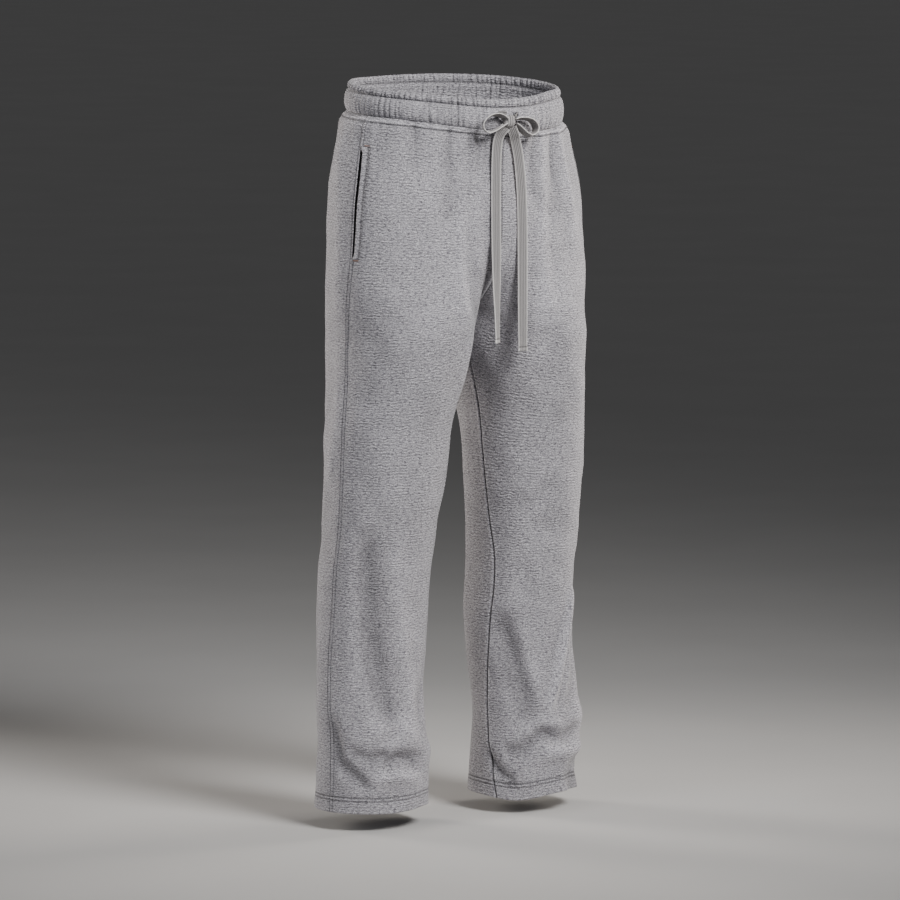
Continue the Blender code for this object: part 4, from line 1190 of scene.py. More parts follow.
def band_grid():
    """Rings of the waistband's surface, the cloth's own places on it, the shade painted on it and the profile's
    places.
    """
    profile, at, knots_at = band_profile(BAND_ROWS)
    angle = np.linspace(-math.pi, math.pi, BAND_COLUMNS, endpoint=False)
    level, _ = oval(angle, *[BAND_HALF_WIDTH] * 2, *[BAND_HALF_DEPTH] * 2, 2)
    steps = np.linalg.norm(np.diff(level, axis=1, append=level[:, :1]), axis=0)
    arc = np.concatenate([[0], np.cumsum(steps)[:-1]])
    rings, shades = [], []
    for row in range(BAND_ROWS):
        height, width, depth = (profile[name][row] * MM for name in ("height", "half_width", "half_depth"))
        share = (height - BAND_BOTTOM) / BAND_HEIGHT
        lean = (share - 0.4) * 2 * MM
        top, band = gather_relief(arc, np.degrees(angle), lean)
        relief = profile["top_gathers"][row] * top + profile["band_gathers"][row] * band
        (x, y), _ = oval(angle, width, width, depth, depth, 2)
        inside = at[row] > knots_at[RIM_ROW]
        push = 1 + (-relief if inside else relief) / np.hypot(x, y)
        x, y = x * push, y * push
        rings.append(np.stack([x, y, height + y * BAND_TILT + waist_rise(angle, share)], axis=-1))
        # Painted shade: dark along the band's lower edge, in the stitch rows' grooves and in the deeper gathers.
        seam = fade(at[row], 0.2 * MM, 1.6 * MM)
        grooves = [bump(at[row] - knots_at[knot], 1.5 * MM) for knot in (STITCH_ROW_OUTSIDE, STITCH_ROW_INSIDE)]
        gathered = profile["top_gathers"][row] * top * 1.6 + profile["band_gathers"][row] * band
        shades.append(np.maximum(max(seam, *grooves), np.clip(-gathered / GATHER_SHADE, 0, 0.6)))
    places = np.stack(np.broadcast_arrays(arc[None, :], at[:, None]), axis=-1)
    return np.stack(rings), places, np.stack(shades), at, knots_at


def make_waistband(finish):
    grid, places, shade, _, _ = band_grid()
    faces = tube_faces(*grid.shape[:2], looped=True)
    points, places = grid.reshape(-1, 3), places.reshape(-1, 2)
    band = add_object("waistband_cloth", points, faces, finish, ["waistband"], places, shade)


# --- Pockets ----------------------------------------------------------------------------------------------------

WELT_THICKNESS = 1.5 * MM
WELT_GAP = 0.4 * MM
WELT_LIFT = 0.3 * MM
# A painted highlight: how much lighter the whole welt is painted.
WELT_PAINTED_HIGHLIGHT = 0.3
BAG_THICKNESS = 1.2 * MM
BAG_SINK = (2.6 * MM, 4.4 * MM)
BAG_EDGE_ACROSS = 0.998
BAG_BEHIND_ACROSS = 0.965


def make_pockets(finish, lining):
    for side_name in SIDES:
        make_welt(side_name, finish)
        make_bag(side_name, lining)


def make_welt(side_name, finish):
    """The welt on the front panel beside the pocket's mouth, with a stitched front edge and a folded back one, and
    shade painted along its edges and ends.
    """
    side = SIDES[side_name]
    rows = np.linspace(POCKET_FROM, POCKET_TO, 96)
    share = np.linspace(0, 1, 18)[None, :]
    start = welt_from(rows)[:, None]
    end = (1 - mouth(rows) / quarter_girth(rows) * 0.9 - 0.004)[:, None]
    base = panel_surface(side, "front", start + (end - start) * share, rows[:, None])
    inward = inwards(side, "front", base)
    from_end = np.minimum(rows - rows[0], rows[-1] - rows)[:, None]
    crown = (1 - np.abs(2 * share - 1) ** 9) * (1 - fade(from_end, 0, 2 * MM) * 0.6)
    groove = 0.3 * MM * bump((share - 0.2) * 11.5 * MM, 0.8 * MM)
    # Painted shade along the welt's front edge, its back edge and its ends, less the painted highlight over the whole
    # welt.
    shade = np.maximum(1.25 * bump(share * 9 * MM, 1.6 * MM), 0.5 * bump((1 - share) * 9 * MM, 0.8 * MM))
    shade = np.maximum(shade, fade(from_end, 0, 1.6 * MM)) - WELT_PAINTED_HIGHLIGHT
    outer = base - inward * (WELT_GAP + WELT_LIFT + WELT_THICKNESS * crown - groove)[..., None]
    inner = base - inward * WELT_GAP
    name = f"pocket_welt_{side_name}"
    welt = shell(f"{name}_cloth", outer, inner, cloth_places(outer, rows, -1), finish, "fleece", [name], shade)


def make_bag(side_name, lining):
    """The pocket's bag behind the front panel, painted near-black by the mouth as shade and reaching past it behind
    the back panel.
    """
    side = SIDES[side_name]
    rows = np.linspace(POCKET_FROM, BAG_TO, 60)
    columns = np.linspace(BAG_FROM_ACROSS, BAG_EDGE_ACROSS, 40)
    behind = np.linspace(BAG_EDGE_ACROSS, BAG_BEHIND_ACROSS, 6)
    base = [panel_surface(side, "front", columns[None, :], rows[:, None])]
    base.append(panel_surface(side, "back", behind[None, :], rows[:, None]))
    base = np.concatenate(base, axis=1)
    columns = np.append(columns, np.ones(len(behind)))[None, :]
    inward = inwards(side, "front", base)
    near, far = BAG_SINK
    sink = near + (far - near) * (1 - fade(columns, 0.80, 0.95))
    faces = [base + inward * (sink + depth)[..., None] for depth in (0, BAG_THICKNESS)]
    uv = cloth_places(base, rows, -1)
    # Painted shade, near-black where the bag shows through the mouth.
    shade = np.broadcast_to(1.1 * (1 - fade(columns, 0.85, 0.93)), uv.shape[:2])
    name = f"pocket_bag_{side_name}"
    bag = shell(f"{name}_cloth", *faces, uv, lining, "pocket_cloth", [name], shade)


# --- Drawstring -------------------------------------------------------------------------------------------------

TAPE_STEP = 1.5 * MM
RIB_DEPTH = 0.22 * MM
SELVEDGE = 1.3 * MM
TIP_LENGTH = 7 * MM
KNOT_RINGS, KNOT_SIDES = 33, 48


def stretch_lines(stretch):
    """Middle line and width directions along a stretch of tape, finely spaced."""
    middle = np.stack([stretch[axis] for axis in "xyz"], axis=-1) * MM
    across = unit(np.stack([stretch["width_" + axis] for axis in "xyz"], axis=-1))
    stations = np.arange(len(middle))
    dense = np.linspace(0, stations[-1], 40 * len(middle))
    line = np.stack([curve_through(stations, column, dense) for column in middle.T], axis=-1)
    along = np.concatenate([[0], np.cumsum(np.linalg.norm(np.diff(line, axis=0), axis=1))])
    count = max(8, round(along[-1] / TAPE_STEP))
    even = np.interp(np.linspace(0, along[-1], count), along, dense)
    line = np.stack([curve_through(stations, column, even) for column in middle.T], axis=-1)
    across = np.stack([curve_through(stations, column, even) for column in across.T], axis=-1)
    tangent = unit(np.gradient(line, axis=0))
    across = unit(across - tangent * np.sum(across * tangent, axis=1, keepdims=True))
    return line, across, unit(np.cross(across, tangent)), np.linspace(0, along[-1], count)


def tape_section(width, thickness, ribs):
    """Places round a tape's section: across it, and out of its plane."""
    share = np.linspace(-1, 1, 41)
    inside = np.clip(1 - (1 - np.abs(share)) * width / 2 / SELVEDGE, 0, 1)
    rib = np.cos(share * math.pi * ribs) * (inside == 0)
    height = thickness / 2 * (1 - 0.35 * inside**3) + RIB_DEPTH * (rib - 0.6 * (inside == 0))
    height = np.where(np.abs(share) == 1, thickness * 0.28, height)
    across = np.concatenate([share, share[::-1]])
    return across * width / 2, np.concatenate([height, -height[::-1]])


def ribbon(name, stretch, width, trim, finish, tip=False):
    """A flat ribbed tape along a stretch, closed at both ends."""
    line, across, facing, along = stretch_lines(stretch)
    spread, out = tape_section(width, trim.tape_thickness, trim.ribs)
    ring = len(spread)
    points, places, shades = [], [], []
    for centre, side, front, place in zip(line, across, facing, along):
        left = along[-1] - place
        fold, narrow, groove = 1, 1, 0
        if tip and left < TIP_LENGTH:
            groove = math.exp(-(((left - TIP_LENGTH * 0.85) / (0.9 * MM)) ** 2))
            fold = 1.7 - 0.9 * groove
            narrow = 1.07
        points.append(centre + spread[:, None] * narrow * side + out[:, None] * fold * front)
        # Painted shade in the groove by the sewn tip, and a painted highlight over the folded tip.
        shades.append(np.full(ring, 0.9 * groove - 0.3 * (fold > 1)))
        places.append(np.stack([spread, np.full(ring, place)], axis=-1))
    rows = len(points)
    faces = tube_faces(rows, ring)
    half = ring // 2
    for start in (0, (rows - 1) * ring):
        for i in range(half - 1):
            a, b = start + i, start + i + 1
            c, d = start + ring - 2 - i, start + ring - 1 - i
            faces.append((a, b, c, d))
    points, places, shades = (np.concatenate(parts) for parts in (points, places, shades))
    return add_object(f"{name}_tape", points, faces, finish, [name], places, shades), line


def make_knot(finish):
    """The knot: a wrap of tape squeezed into a rounded lump, its ribs running over it."""
    share = np.linspace(-1, 1, KNOT_RINGS)
    turn = np.linspace(0, math.tau, KNOT_SIDES, endpoint=False)
    waist = (1 - np.abs(share) ** 3.2) ** 0.42
    waist[[0, -1]] = 0.06
    ribs = 1 + 0.035 * np.cos(share * math.pi * 3.5) * (np.abs(share) < 0.8)
    points, places = [], []
    for s, w, r in zip(share, waist, ribs):
        squeeze = 1 + 0.10 * np.cos(turn * 2) + 0.05 * np.cos(turn * 3 + 1.0)
        y = np.cos(turn) * KNOT_HALF_SIZE[1] * w * r * squeeze * 0.95
        z = np.sin(turn) * KNOT_HALF_SIZE[2] * w * r * (1 + 0.03 * np.cos(turn * 5))
        x = s * KNOT_HALF_SIZE[0] + 1.0 * MM * np.sin(turn) * w
        points.append(np.stack([x + KNOT_CENTRE[0], y + KNOT_CENTRE[1], z + KNOT_CENTRE[2]], axis=-1))
        places.append(np.stack([np.full(len(turn), s * 5.5 * MM), turn * 7 * MM], axis=-1))
    rows, ring = len(points), len(turn)
    faces = tube_faces(rows, ring)
    faces += [tuple(range(ring)), tuple(range((rows - 1) * ring, rows * ring))]
    name = "drawstring_knot"
    return add_object(f"{name}_tape", np.concatenate(points), faces, finish, [name], np.concatenate(places))


def make_drawstring(trim, finish):
    knot = make_knot(finish)
    stretches = {
        "end_right": (END_RIGHT, trim.tape_width),
        "end_left": (END_LEFT, trim.tape_width),
        "loop_right": (LOOP_RIGHT, trim.tape_width),
        "loop_left": (LOOP_LEFT, trim.tape_width),
        "lead_right": (LEAD_RIGHT, trim.lead_width),
        "lead_left": (LEAD_LEFT, trim.lead_width),
    }
    for name, (stretch, width) in stretches.items():
        ribbon(f"drawstring_{name}", stretch, width, trim, finish, tip=name.startswith("end"))


# --- Eyelets ----------------------------------------------------------------------------------------------------


def deselect_all():
    if bpy.context.object and bpy.context.object.mode != "OBJECT":
        bpy.ops.object.mode_set(mode="OBJECT")
    bpy.ops.object.select_all(action="DESELECT")


def finish_primitive(name, finish, replaced=()):
    """Give the active object its name and finish, and move its place into its mesh."""
    obj = bpy.context.object
    obj.name = name
    obj.data.name = name
    obj.select_set(True)
    bpy.ops.object.transform_apply(location=True, rotation=True, scale=True)
    obj.data.materials.clear()
    obj.data.materials.append(finish)
    return dress(obj, replaced)


def make_eyelets(thread, hole_shadow):
    grid, _, _, at, knots_at = band_grid()
    row = int(np.argmin(np.abs(at - knots_at[4])))
    for side_name, side in SIDES.items():
        angle = math.asin(EYELET_OFFSET / BAND_HALF_WIDTH) * side
        ring = grid[row]
        round_waist = np.arctan2(ring[:, 0], -ring[:, 1] * BAND_HALF_WIDTH / BAND_HALF_DEPTH)
        nearest = ring[np.argmin(np.abs(round_waist - angle))]
        facing = angle * BAND_HALF_DEPTH / BAND_HALF_WIDTH
        centre = Vector((nearest[0], nearest[1] - 1.3 * MM, EYELET_Z))
        deselect_all()
        bpy.ops.mesh.primitive_torus_add(
            major_segments=96,
            minor_segments=10,
            major_radius=EYELET_RADIUS,
            minor_radius=1.0 * MM,
            location=centre,
            rotation=(math.pi / 2, 0, facing),
        )
        bpy.ops.object.mode_set(mode="EDIT")
        mesh = bmesh.from_edit_mesh(bpy.context.object.data)
        for vertex in mesh.verts:
            around = round(math.atan2(vertex.co.y, vertex.co.x) / math.tau * 96)
            vertex.select = around % 3 == 0
        mesh.select_flush_mode()
        bmesh.update_edit_mesh(bpy.context.object.data)
        bpy.ops.transform.shrink_fatten(value=-0.22 * MM)
        bpy.ops.object.mode_set(mode="OBJECT")
        name = f"eyelet_{side_name}"
        finish_primitive(f"{name}_thread", thread, [name])

        # A near-black disc set in each eyelet: painted shade for the dark inside of the hole.
        deselect_all()
        bpy.ops.mesh.primitive_circle_add(
            vertices=32, radius=EYELET_RADIUS, fill_type="NGON", location=centre, rotation=(math.pi / 2, 0, facing)
        )
        bpy.ops.object.mode_set(mode="EDIT")
        bpy.ops.mesh.select_all(action="SELECT")
        bpy.ops.mesh.inset(thickness=0.8 * MM, depth=-0.1 * MM)
        bpy.ops.mesh.inset(thickness=1.0 * MM, depth=-0.1 * MM)
        bpy.ops.object.mode_set(mode="OBJECT")
        finish_primitive(f"{name}_hole", hole_shadow)


# --- Stitching --------------------------------------------------------------------------------------------------

STITCH_SHARE = 0.72
TACK_THICKER = 1.8
TACK_STITCH = 4 * MM
TACK_LIFT = 1.7 * MM
TACK_STITCHES = 7


def stitch_template(trim):
    """One stitch, lying along X with +Z out of the cloth: its points and faces."""
    deselect_all()
    bpy.ops.mesh.primitive_uv_sphere_add(segments=6, ring_count=4, radius=0.5, rotation=(0, math.pi / 2, 0))
    stitch = bpy.context.object
    bpy.ops.object.transform_apply(location=False, rotation=True, scale=False)
    bpy.ops.object.mode_set(mode="EDIT")
    bpy.ops.mesh.select_all(action="SELECT")
    bpy.ops.transform.resize(value=(1, trim.thread_width, trim.thread_width * 0.8))
    bpy.ops.object.mode_set(mode="OBJECT")
    points = np.array([v.co for v in stitch.data.vertices])
    points[:, 2] += 0.25 * trim.thread_width * (1 - (2 * points[:, 0]) ** 2)
    faces = [tuple(p.vertices) for p in stitch.data.polygons]
    bpy.data.objects.remove(stitch)
    return points, faces


def resampled(points, facing, pitch):
    """Middles, directions, facings and lengths of stitches of about this pitch along a line."""
    along = np.concatenate([[0], np.cumsum(np.linalg.norm(np.diff(points, axis=0), axis=1))])
    count = max(1, round(along[-1] / pitch))
    marks = np.linspace(0, along[-1], count + 1)
    knots = np.stack([np.interp(marks, along, column) for column in points.T], axis=-1)
    middles = (marks[:-1] + marks[1:]) / 2
    centre = np.stack([np.interp(middles, along, column) for column in points.T], axis=-1)
    out = unit(np.stack([np.interp(middles, along, column) for column in facing.T], axis=-1))
    run = np.diff(knots, axis=0)
    length = np.linalg.norm(run, axis=1)
    return centre, unit(run), out, length


def sew(lines, template, pitch, lift, share=STITCH_SHARE):
    """Points and faces of the stitches along these lines, each a pair of points and facings."""
    points, faces = template
    all_points, all_faces, count = [], [], 0
    for line, facing in lines:
        centre, along, out, length = resampled(line, facing, pitch)
        side = unit(np.cross(out, along))
        out = np.cross(along, side)
        frames = np.stack([along * (length * share)[:, None], side, out], axis=1)
        placed = np.einsum("pk,skj->spj", points, frames) + (centre + out * lift)[:, None, :]
        for s in range(len(placed)):
            all_faces += [tuple(count + s * len(points) + i for i in face) for face in faces]
        count += placed.shape[0] * placed.shape[1]
        all_points.append(placed.reshape(-1, 3))
    return np.concatenate(all_points), all_faces


def panel_line(side, face, across, drop):
    """Points along a line on a panel, and the way the cloth faces there."""
    across, drop = np.broadcast_arrays(np.asarray(across, float), np.asarray(drop, float))
    step = 1e-4
    here = panel_surface(side, face, across, drop)
    down = panel_surface(side, face, across, drop + step) - panel_surface(side, face, across, drop - step)
    along = panel_surface(side, face, across + 3 * step, drop) - panel_surface(side, face, across - 3 * step, drop)
    out = np.cross(along, down) if (side == RIGHT) == (face == "front") else np.cross(down, along)
    return here, unit(out)


def seam_lines():
    """The topstitched rows of the panels by seam: under the band, centre seams, side seams and hems."""
    rows = {"band": [], "centre": [], "side": [], "hem": []}
    for side in SIDES.values():
        for face in ("front", "back"):
            across = np.linspace(0.004, 0.996, 160)
            rows["band"].append(panel_line(side, face, across, STRIP_BOTTOM - 1.0 * MM))
            rows["band"].append(panel_line(side, face, across, STRIP_TOP))
            for drop in HEM_ROWS:
                rows["hem"].append(panel_line(side, face, across, drop))
            drop = np.linspace(STRIP_BOTTOM, CROTCH_DROP - 12 * MM, 160)
            quarter = quarter_girth(drop)
            rows["centre"].append(panel_line(side, face, CENTRE_ROW / quarter, drop))
            drop = np.linspace(STRIP_BOTTOM, OUTSEAM - 2 * MM, 420)
            quarter = quarter_girth(drop)
            if face == "front":
                for low, high in ((STRIP_BOTTOM, POCKET_FROM), (POCKET_TO, OUTSEAM - 2 * MM)):
                    part = (drop >= low) & (drop <= high)
                    rows["side"].append(panel_line(side, face, 1 - SIDE_ROW / quarter[part], drop[part]))
            else:
                rows["side"].append(panel_line(side, face, 1 - SIDE_ROW / quarter, drop))
    return rows


def band_lines():
    """The stitch row between the waistband's channels, outside and inside."""
    grid, _, _, at, knots_at = band_grid()
    centre = grid.mean(axis=(0, 1))
    lines = []
    for knot, way in ((STITCH_ROW_OUTSIDE, 1), (STITCH_ROW_INSIDE, -1)):
        ring = grid[int(np.argmin(np.abs(at - knots_at[knot])))]
        ring = np.concatenate([ring, ring[:1]])
        out = ring - centre
        out[:, 2] = 0
        lines.append((ring, unit(out) * way))
    return lines


def welt_lines():
    """The stitch row along each welt, and the bartacks at its ends."""
    rows, tacks = [], []
    drop = np.linspace(POCKET_FROM + 1 * MM, POCKET_TO - 1 * MM, 80)
    for side in SIDES.values():
        rows.append(panel_line(side, "front", welt_from(drop) - 0.002, drop))
        for middle in (POCKET_FROM - 1.0 * MM, POCKET_TO + 1.0 * MM):
            for step in range(TACK_STITCHES):
                across = welt_from(middle) - 0.002 + 0.0050 * np.array([step, step + 0.55])
                zigzag = middle + np.array([-1.0, 1.0]) * MM * (1 if step % 2 else -1)
                tacks.append(panel_line(side, "front", across, zigzag))
    return rows, tacks


def make_stitching(trim, thread, tack):
    template = stitch_template(trim)
    rows = seam_lines()
    rows["waistband"] = band_lines()
    rows["welt"], tacks = welt_lines()
    for name, lines in rows.items():
        points, faces = sew(lines, template, trim.stitch, 0.1 * MM)
        add_object(f"stitches_{name}", points, faces, thread)
    thick = template[0] * (1, TACK_THICKER, TACK_THICKER), template[1]
    points, faces = sew(tacks, thick, TACK_STITCH, TACK_LIFT, share=1.0)
    add_object("bartacks", points, faces, tack)


# --- Materials --------------------------------------------------------------------------------------------------


def new_group(name, inputs, outputs):
    """A shader node group with named sockets; inputs are (name, kind, default) and outputs (name, kind)."""
    group = bpy.data.node_groups.new(name, "ShaderNodeTree")
    for label, kind, default in inputs:
        socket = group.interface.new_socket(label, in_out="INPUT", socket_type=f"NodeSocket{kind}")
        if default is not None:
            socket.default_value = default
    for label, kind in outputs:
        group.interface.new_socket(label, in_out="OUTPUT", socket_type=f"NodeSocket{kind}")
    return group, group.nodes.new("NodeGroupInput"), group.nodes.new("NodeGroupOutput")


def join(tree, source, target):
    """Sets a socket from another socket or from a plain value."""
    if isinstance(source, bpy.types.NodeSocket):
        tree.links.new(source, target)
    else:
        target.default_value = source


def math_node(tree, operation, first, second=0.0):
    node = tree.nodes.new("ShaderNodeMath")
    node.operation = operation
    join(tree, first, node.inputs[0])
    join(tree, second, node.inputs[1])
    return node.outputs[0]


def times(tree, first, second):
    return math_node(tree, "MULTIPLY", first, second)


def noise_node(tree, place, scale, shift=(0, 0), detail=1.0, distortion=0.2):
    """Noise on the cloth's places, with its scale across and down the cloth."""
    spread = tree.nodes.new("ShaderNodeMapping")
    join(tree, place, spread.inputs["Vector"])
    spread.inputs["Scale"].default_value = (*scale, 1)
    spread.inputs["Location"].default_value = (*shift, 0)
    node = tree.nodes.new("ShaderNodeTexNoise")
    node.noise_dimensions = "2D"
    node.inputs["Scale"].default_value = 1.0
    node.inputs["Detail"].default_value = detail
    node.inputs["Roughness"].default_value = 0.5
    node.inputs["Distortion"].default_value = distortion
    join(tree, spread.outputs["Vector"], node.inputs["Vector"])
    return node.outputs["Fac"]


def ranged(tree, value, low, high, to_low=0.0, to_high=1.0):
    node = tree.nodes.new("ShaderNodeMapRange")
    node.interpolation_type = "SMOOTHSTEP"
    join(tree, value, node.inputs["Value"])
    node.inputs["From Min"].default_value = low
    node.inputs["From Max"].default_value = high
    node.inputs["To Min"].default_value = to_low
    node.inputs["To Max"].default_value = to_high
    return node.outputs["Result"]


def mixed(tree, factor, first, second, blend="MIX"):
    node = tree.nodes.new("ShaderNodeMix")
    node.data_type = "RGBA"
    node.blend_type = blend
    join(tree, factor, node.inputs["Factor"])
    join(tree, first, node.inputs[6])
    join(tree, second, node.inputs[7])
    return node.outputs[2]


# How much a painted shade of 1 darkens the colour.
PAINTED_SHADE_DARKENING = 0.75


def shaded(tree, colour, tone, seam_shade):
    """A colour times a tone, darker where shade is painted in a seam or a fold, and lighter where a highlight is
    painted.
    """
    seam = math_node(tree, "SUBTRACT", 1.0, times(tree, seam_shade, PAINTED_SHADE_DARKENING))
    shade = times(tree, tone, seam)
    grey = tree.nodes.new("ShaderNodeCombineColor")
    for socket in grey.inputs:
        tree.links.new(shade, socket)
    return mixed(tree, 1.0, colour, grey.outputs[0], "MULTIPLY")


COURSE_PITCH = 4.2 * MM
PICK_PITCH = 1.1 * MM
# Colour of the shade painted in the grooves between the tape's ribs
RIB_GROOVE_PAINTED_SHADE = (0.09, 0.09, 0.095, 1)


def marl_group():
    """Marl of a brushed knit: short dark and light flecks along the courses, over faint clouds."""
    group, given, made = new_group(
        "marl",
        [
            ("Place", "Vector", None),
            ("Marl", "Color", (0.4, 0.4, 0.4, 1)),
            ("Dark fibre", "Color", (0.2, 0.2, 0.2, 1)),
            ("Light fibre", "Color", (0.6, 0.6, 0.6, 1)),
            ("Flecks", "Float", 1.0),
            ("Seam shade", "Float", 0.0),
        ],
        [("Colour", "Color"), ("Height", "Float")],
    )
    place, flecks = given.outputs["Place"], given.outputs["Flecks"]
    dashes = noise_node(group, place, (165, 680))
    fibres = noise_node(group, place, (520, 820), (7.3, 2.1))
    lights = noise_node(group, place, (210, 680), (3.7, 9.4))
    clouds = noise_node(group, place, (22, 30), (1.2, 5.1), detail=2.0, distortion=0.0)
    bend = noise_node(group, place, (110, 130), (4.4, 0.6), distortion=0.0)
    patches = noise_node(group, place, (40, 70), (8.8, 3.3), distortion=0.0)
    parts = group.nodes.new("ShaderNodeSeparateXYZ")
    group.links.new(place, parts.inputs[0])
    turns = math_node(group, "DIVIDE", parts.outputs["Y"], COURSE_PITCH)
    turns = math_node(group, "ADD", turns, times(group, bend, 1.3))
    courses = math_node(group, "SINE", times(group, turns, math.tau))
    courses = times(group, courses, ranged(group, patches, 0.3, 0.7, 0.25, 1.0))
    dark = times(group, ranged(group, dashes, 0.50, 0.68), flecks)
    light = times(group, ranged(group, lights, 0.48, 0.66), flecks)
    colour = mixed(group, times(group, dark, 0.86), given.outputs["Marl"], given.outputs["Dark fibre"])
    colour = mixed(group, times(group, light, 0.36), colour, given.outputs["Light fibre"])
    grain = ranged(group, fibres, 0.3, 0.7, 0.60, 1.40)
    tone = times(group, grain, ranged(group, clouds, 0.3, 0.7, 0.96, 1.04))
    # The courses' stripes in the tone paint the shade of the knit's ripples, on top of their bump in the height; then
    # the painted shade of seams and folds darkens the colour.
    tone = times(group, tone, math_node(group, "ADD", times(group, courses, 0.24), 1.0))
    colour = shaded(group, colour, tone, given.outputs["Seam shade"])
    height = math_node(group, "ADD", times(group, courses, 0.55), times(group, fibres, 0.4))
    group.links.new(colour, made.inputs["Colour"])
    group.links.new(height, made.inputs["Height"])
    return group


def weave_group():
    """Weave of a flat ribbed tape: painted shade in the grooves between its ribs, pale edges and a fine crosswise
    texture.
    """
    group, given, made = new_group(
        "tape_weave",
        [
            ("Place", "Vector", None),
            ("Tape", "Color", (0.4, 0.4, 0.4, 1)),
            ("Edge", "Color", (0.6, 0.6, 0.6, 1)),
            ("Half width", "Float", 0.00725),
            ("Rib pitch", "Float", 0.0022),
            ("Seam shade", "Float", 0.0),
        ],
        [("Colour", "Color"), ("Height", "Float")],
    )
    place = given.outputs["Place"]
    parts = group.nodes.new("ShaderNodeSeparateXYZ")
    group.links.new(place, parts.inputs[0])
    away = math_node(group, "ABSOLUTE", parts.outputs["X"])
    turns = math_node(group, "DIVIDE", parts.outputs["X"], given.outputs["Rib pitch"])
    wave = math_node(group, "COSINE", times(group, turns, math.tau))
    edge = ranged(group, math_node(group, "DIVIDE", away, given.outputs["Half width"]), 0.78, 0.90)
    groove = times(group, ranged(group, wave, -0.35, -0.95), math_node(group, "SUBTRACT", 1.0, edge))
    picks = math_node(group, "SINE", times(group, parts.outputs["Y"], math.tau / PICK_PITCH))
    fibres = noise_node(group, place, (1600, 1100), detail=2.0, distortion=0.0)
    colour = mixed(group, times(group, groove, 0.9), given.outputs["Tape"], RIB_GROOVE_PAINTED_SHADE)
    colour = mixed(group, edge, colour, given.outputs["Edge"])
    colour = shaded(group, colour, ranged(group, fibres, 0.3, 0.7, 0.86, 1.12), given.outputs["Seam shade"])
    height = math_node(group, "SUBTRACT", times(group, picks, 0.3), groove)
    group.links.new(colour, made.inputs["Colour"])
    group.links.new(height, made.inputs["Height"])
    return group


def rgba(colour, scale=1.0):
    return (*(channel * scale for channel in colour), 1)


def new_material(name, colour, roughness, sheen=0.0):
    made = bpy.data.materials.new(name)
    made.use_nodes = True
    shader = made.node_tree.nodes["Principled BSDF"]
    shader.inputs["Base Color"].default_value = rgba(colour)
    shader.inputs["Roughness"].default_value = roughness
    shader.inputs["Specular IOR Level"].default_value = 0.2
    shader.inputs["Sheen Weight"].default_value = sheen
    shader.inputs["Sheen Roughness"].default_value = 0.45
    made.diffuse_color = rgba(colour)
    return made, made.node_tree, shader


def grouped(tree, shader, group, values, depth):
    """Places a group in a material on the cloth's own UV map, and joins it to the shader."""
    place = tree.nodes.new("ShaderNodeUVMap")
    place.uv_map = "cloth"
    node = tree.nodes.new("ShaderNodeGroup")
    node.node_tree = group
    tree.links.new(place.outputs["UV"], node.inputs["Place"])
    # The painted shade stored on the mesh.
    if "Seam shade" in node.inputs:
        seam = tree.nodes.new("ShaderNodeAttribute")
        seam.attribute_name = "seam_shade"
        tree.links.new(seam.outputs["Fac"], node.inputs["Seam shade"])
    for name, value in values.items():
        node.inputs[name].default_value = value
    tree.links.new(node.outputs["Colour"], shader.inputs["Base Color"])
    relief = tree.nodes.new("ShaderNodeBump")
    relief.inputs["Distance"].default_value = depth
    relief.inputs["Strength"].default_value = 1.0
    tree.links.new(node.outputs["Height"], relief.inputs["Height"])
    tree.links.new(relief.outputs["Normal"], shader.inputs["Normal"])
    return node


def fleece_material(cloth):
    made, tree, shader = new_material("marl_fleece", cloth.marl, 0.92, sheen=0.25)
    values = {"Marl": rgba(cloth.marl), "Dark fibre": rgba(cloth.dark_fibre), "Light fibre": rgba(cloth.light_fibre)}
    grouped(tree, shader, shared_group("marl", marl_group), values, 0.5 * MM)
    return made


def lining_material(cloth):
    made, tree, shader = new_material("pocket_knit", cloth.marl, 0.9, sheen=0.1)
    values = {
        "Marl": rgba(cloth.marl, 0.9),
        "Dark fibre": rgba(cloth.dark_fibre),
        "Light fibre": rgba(cloth.light_fibre, 0.8),
        "Flecks": 0.5,
    }
    grouped(tree, shader, shared_group("marl", marl_group), values, 0.3 * MM)
    return made


def tape_material(trim):
    made, tree, shader = new_material("woven_tape", trim.tape, 0.8, sheen=0.1)
    values = {
        "Tape": rgba(trim.tape),
        "Edge": rgba(trim.tape_edge),
        "Half width": trim.tape_width / 2,
        "Rib pitch": trim.tape_width / trim.ribs,
    }
    grouped(tree, shader, shared_group("tape_weave", weave_group), values, 0.15 * MM)
    return made


def mottle(tree, shader, colour, scale, tones, softness):
    """Gives the shader this colour in spots on the piece, between a dark and a light share of it."""
    place = tree.nodes.new("ShaderNodeTexCoord")
    noise = tree.nodes.new("ShaderNodeTexNoise")
    noise.inputs["Scale"].default_value = scale
    tree.links.new(place.outputs["Object"], noise.inputs["Vector"])
    spots = ranged(tree, noise.outputs["Fac"], 0.5 - softness, 0.5 + softness)
    tree.links.new(mixed(tree, spots, *(rgba(colour, tone) for tone in tones)), shader.inputs["Base Color"])


def thread_material(name, colour, roughness=0.7):
    """Sewing thread: its colour with a faint twist along it."""
    made, tree, shader = new_material(name, colour, roughness)
    mottle(tree, shader, colour, 1400, (0.78, 1.2), 0.15)
    return made


def shared_group(name, maker):
    return bpy.data.node_groups.get(name) or maker()


def finish_named(name, maker, *settings):
    return bpy.data.materials.get(name) or maker(*settings)


# --- Stage ------------------------------------------------------------------------------------------------------

FLOOR_RADIUS = 90.0
LIGHT_SPREAD = 60
LIGHTS_AIM = Vector((0, 0, -0.25))
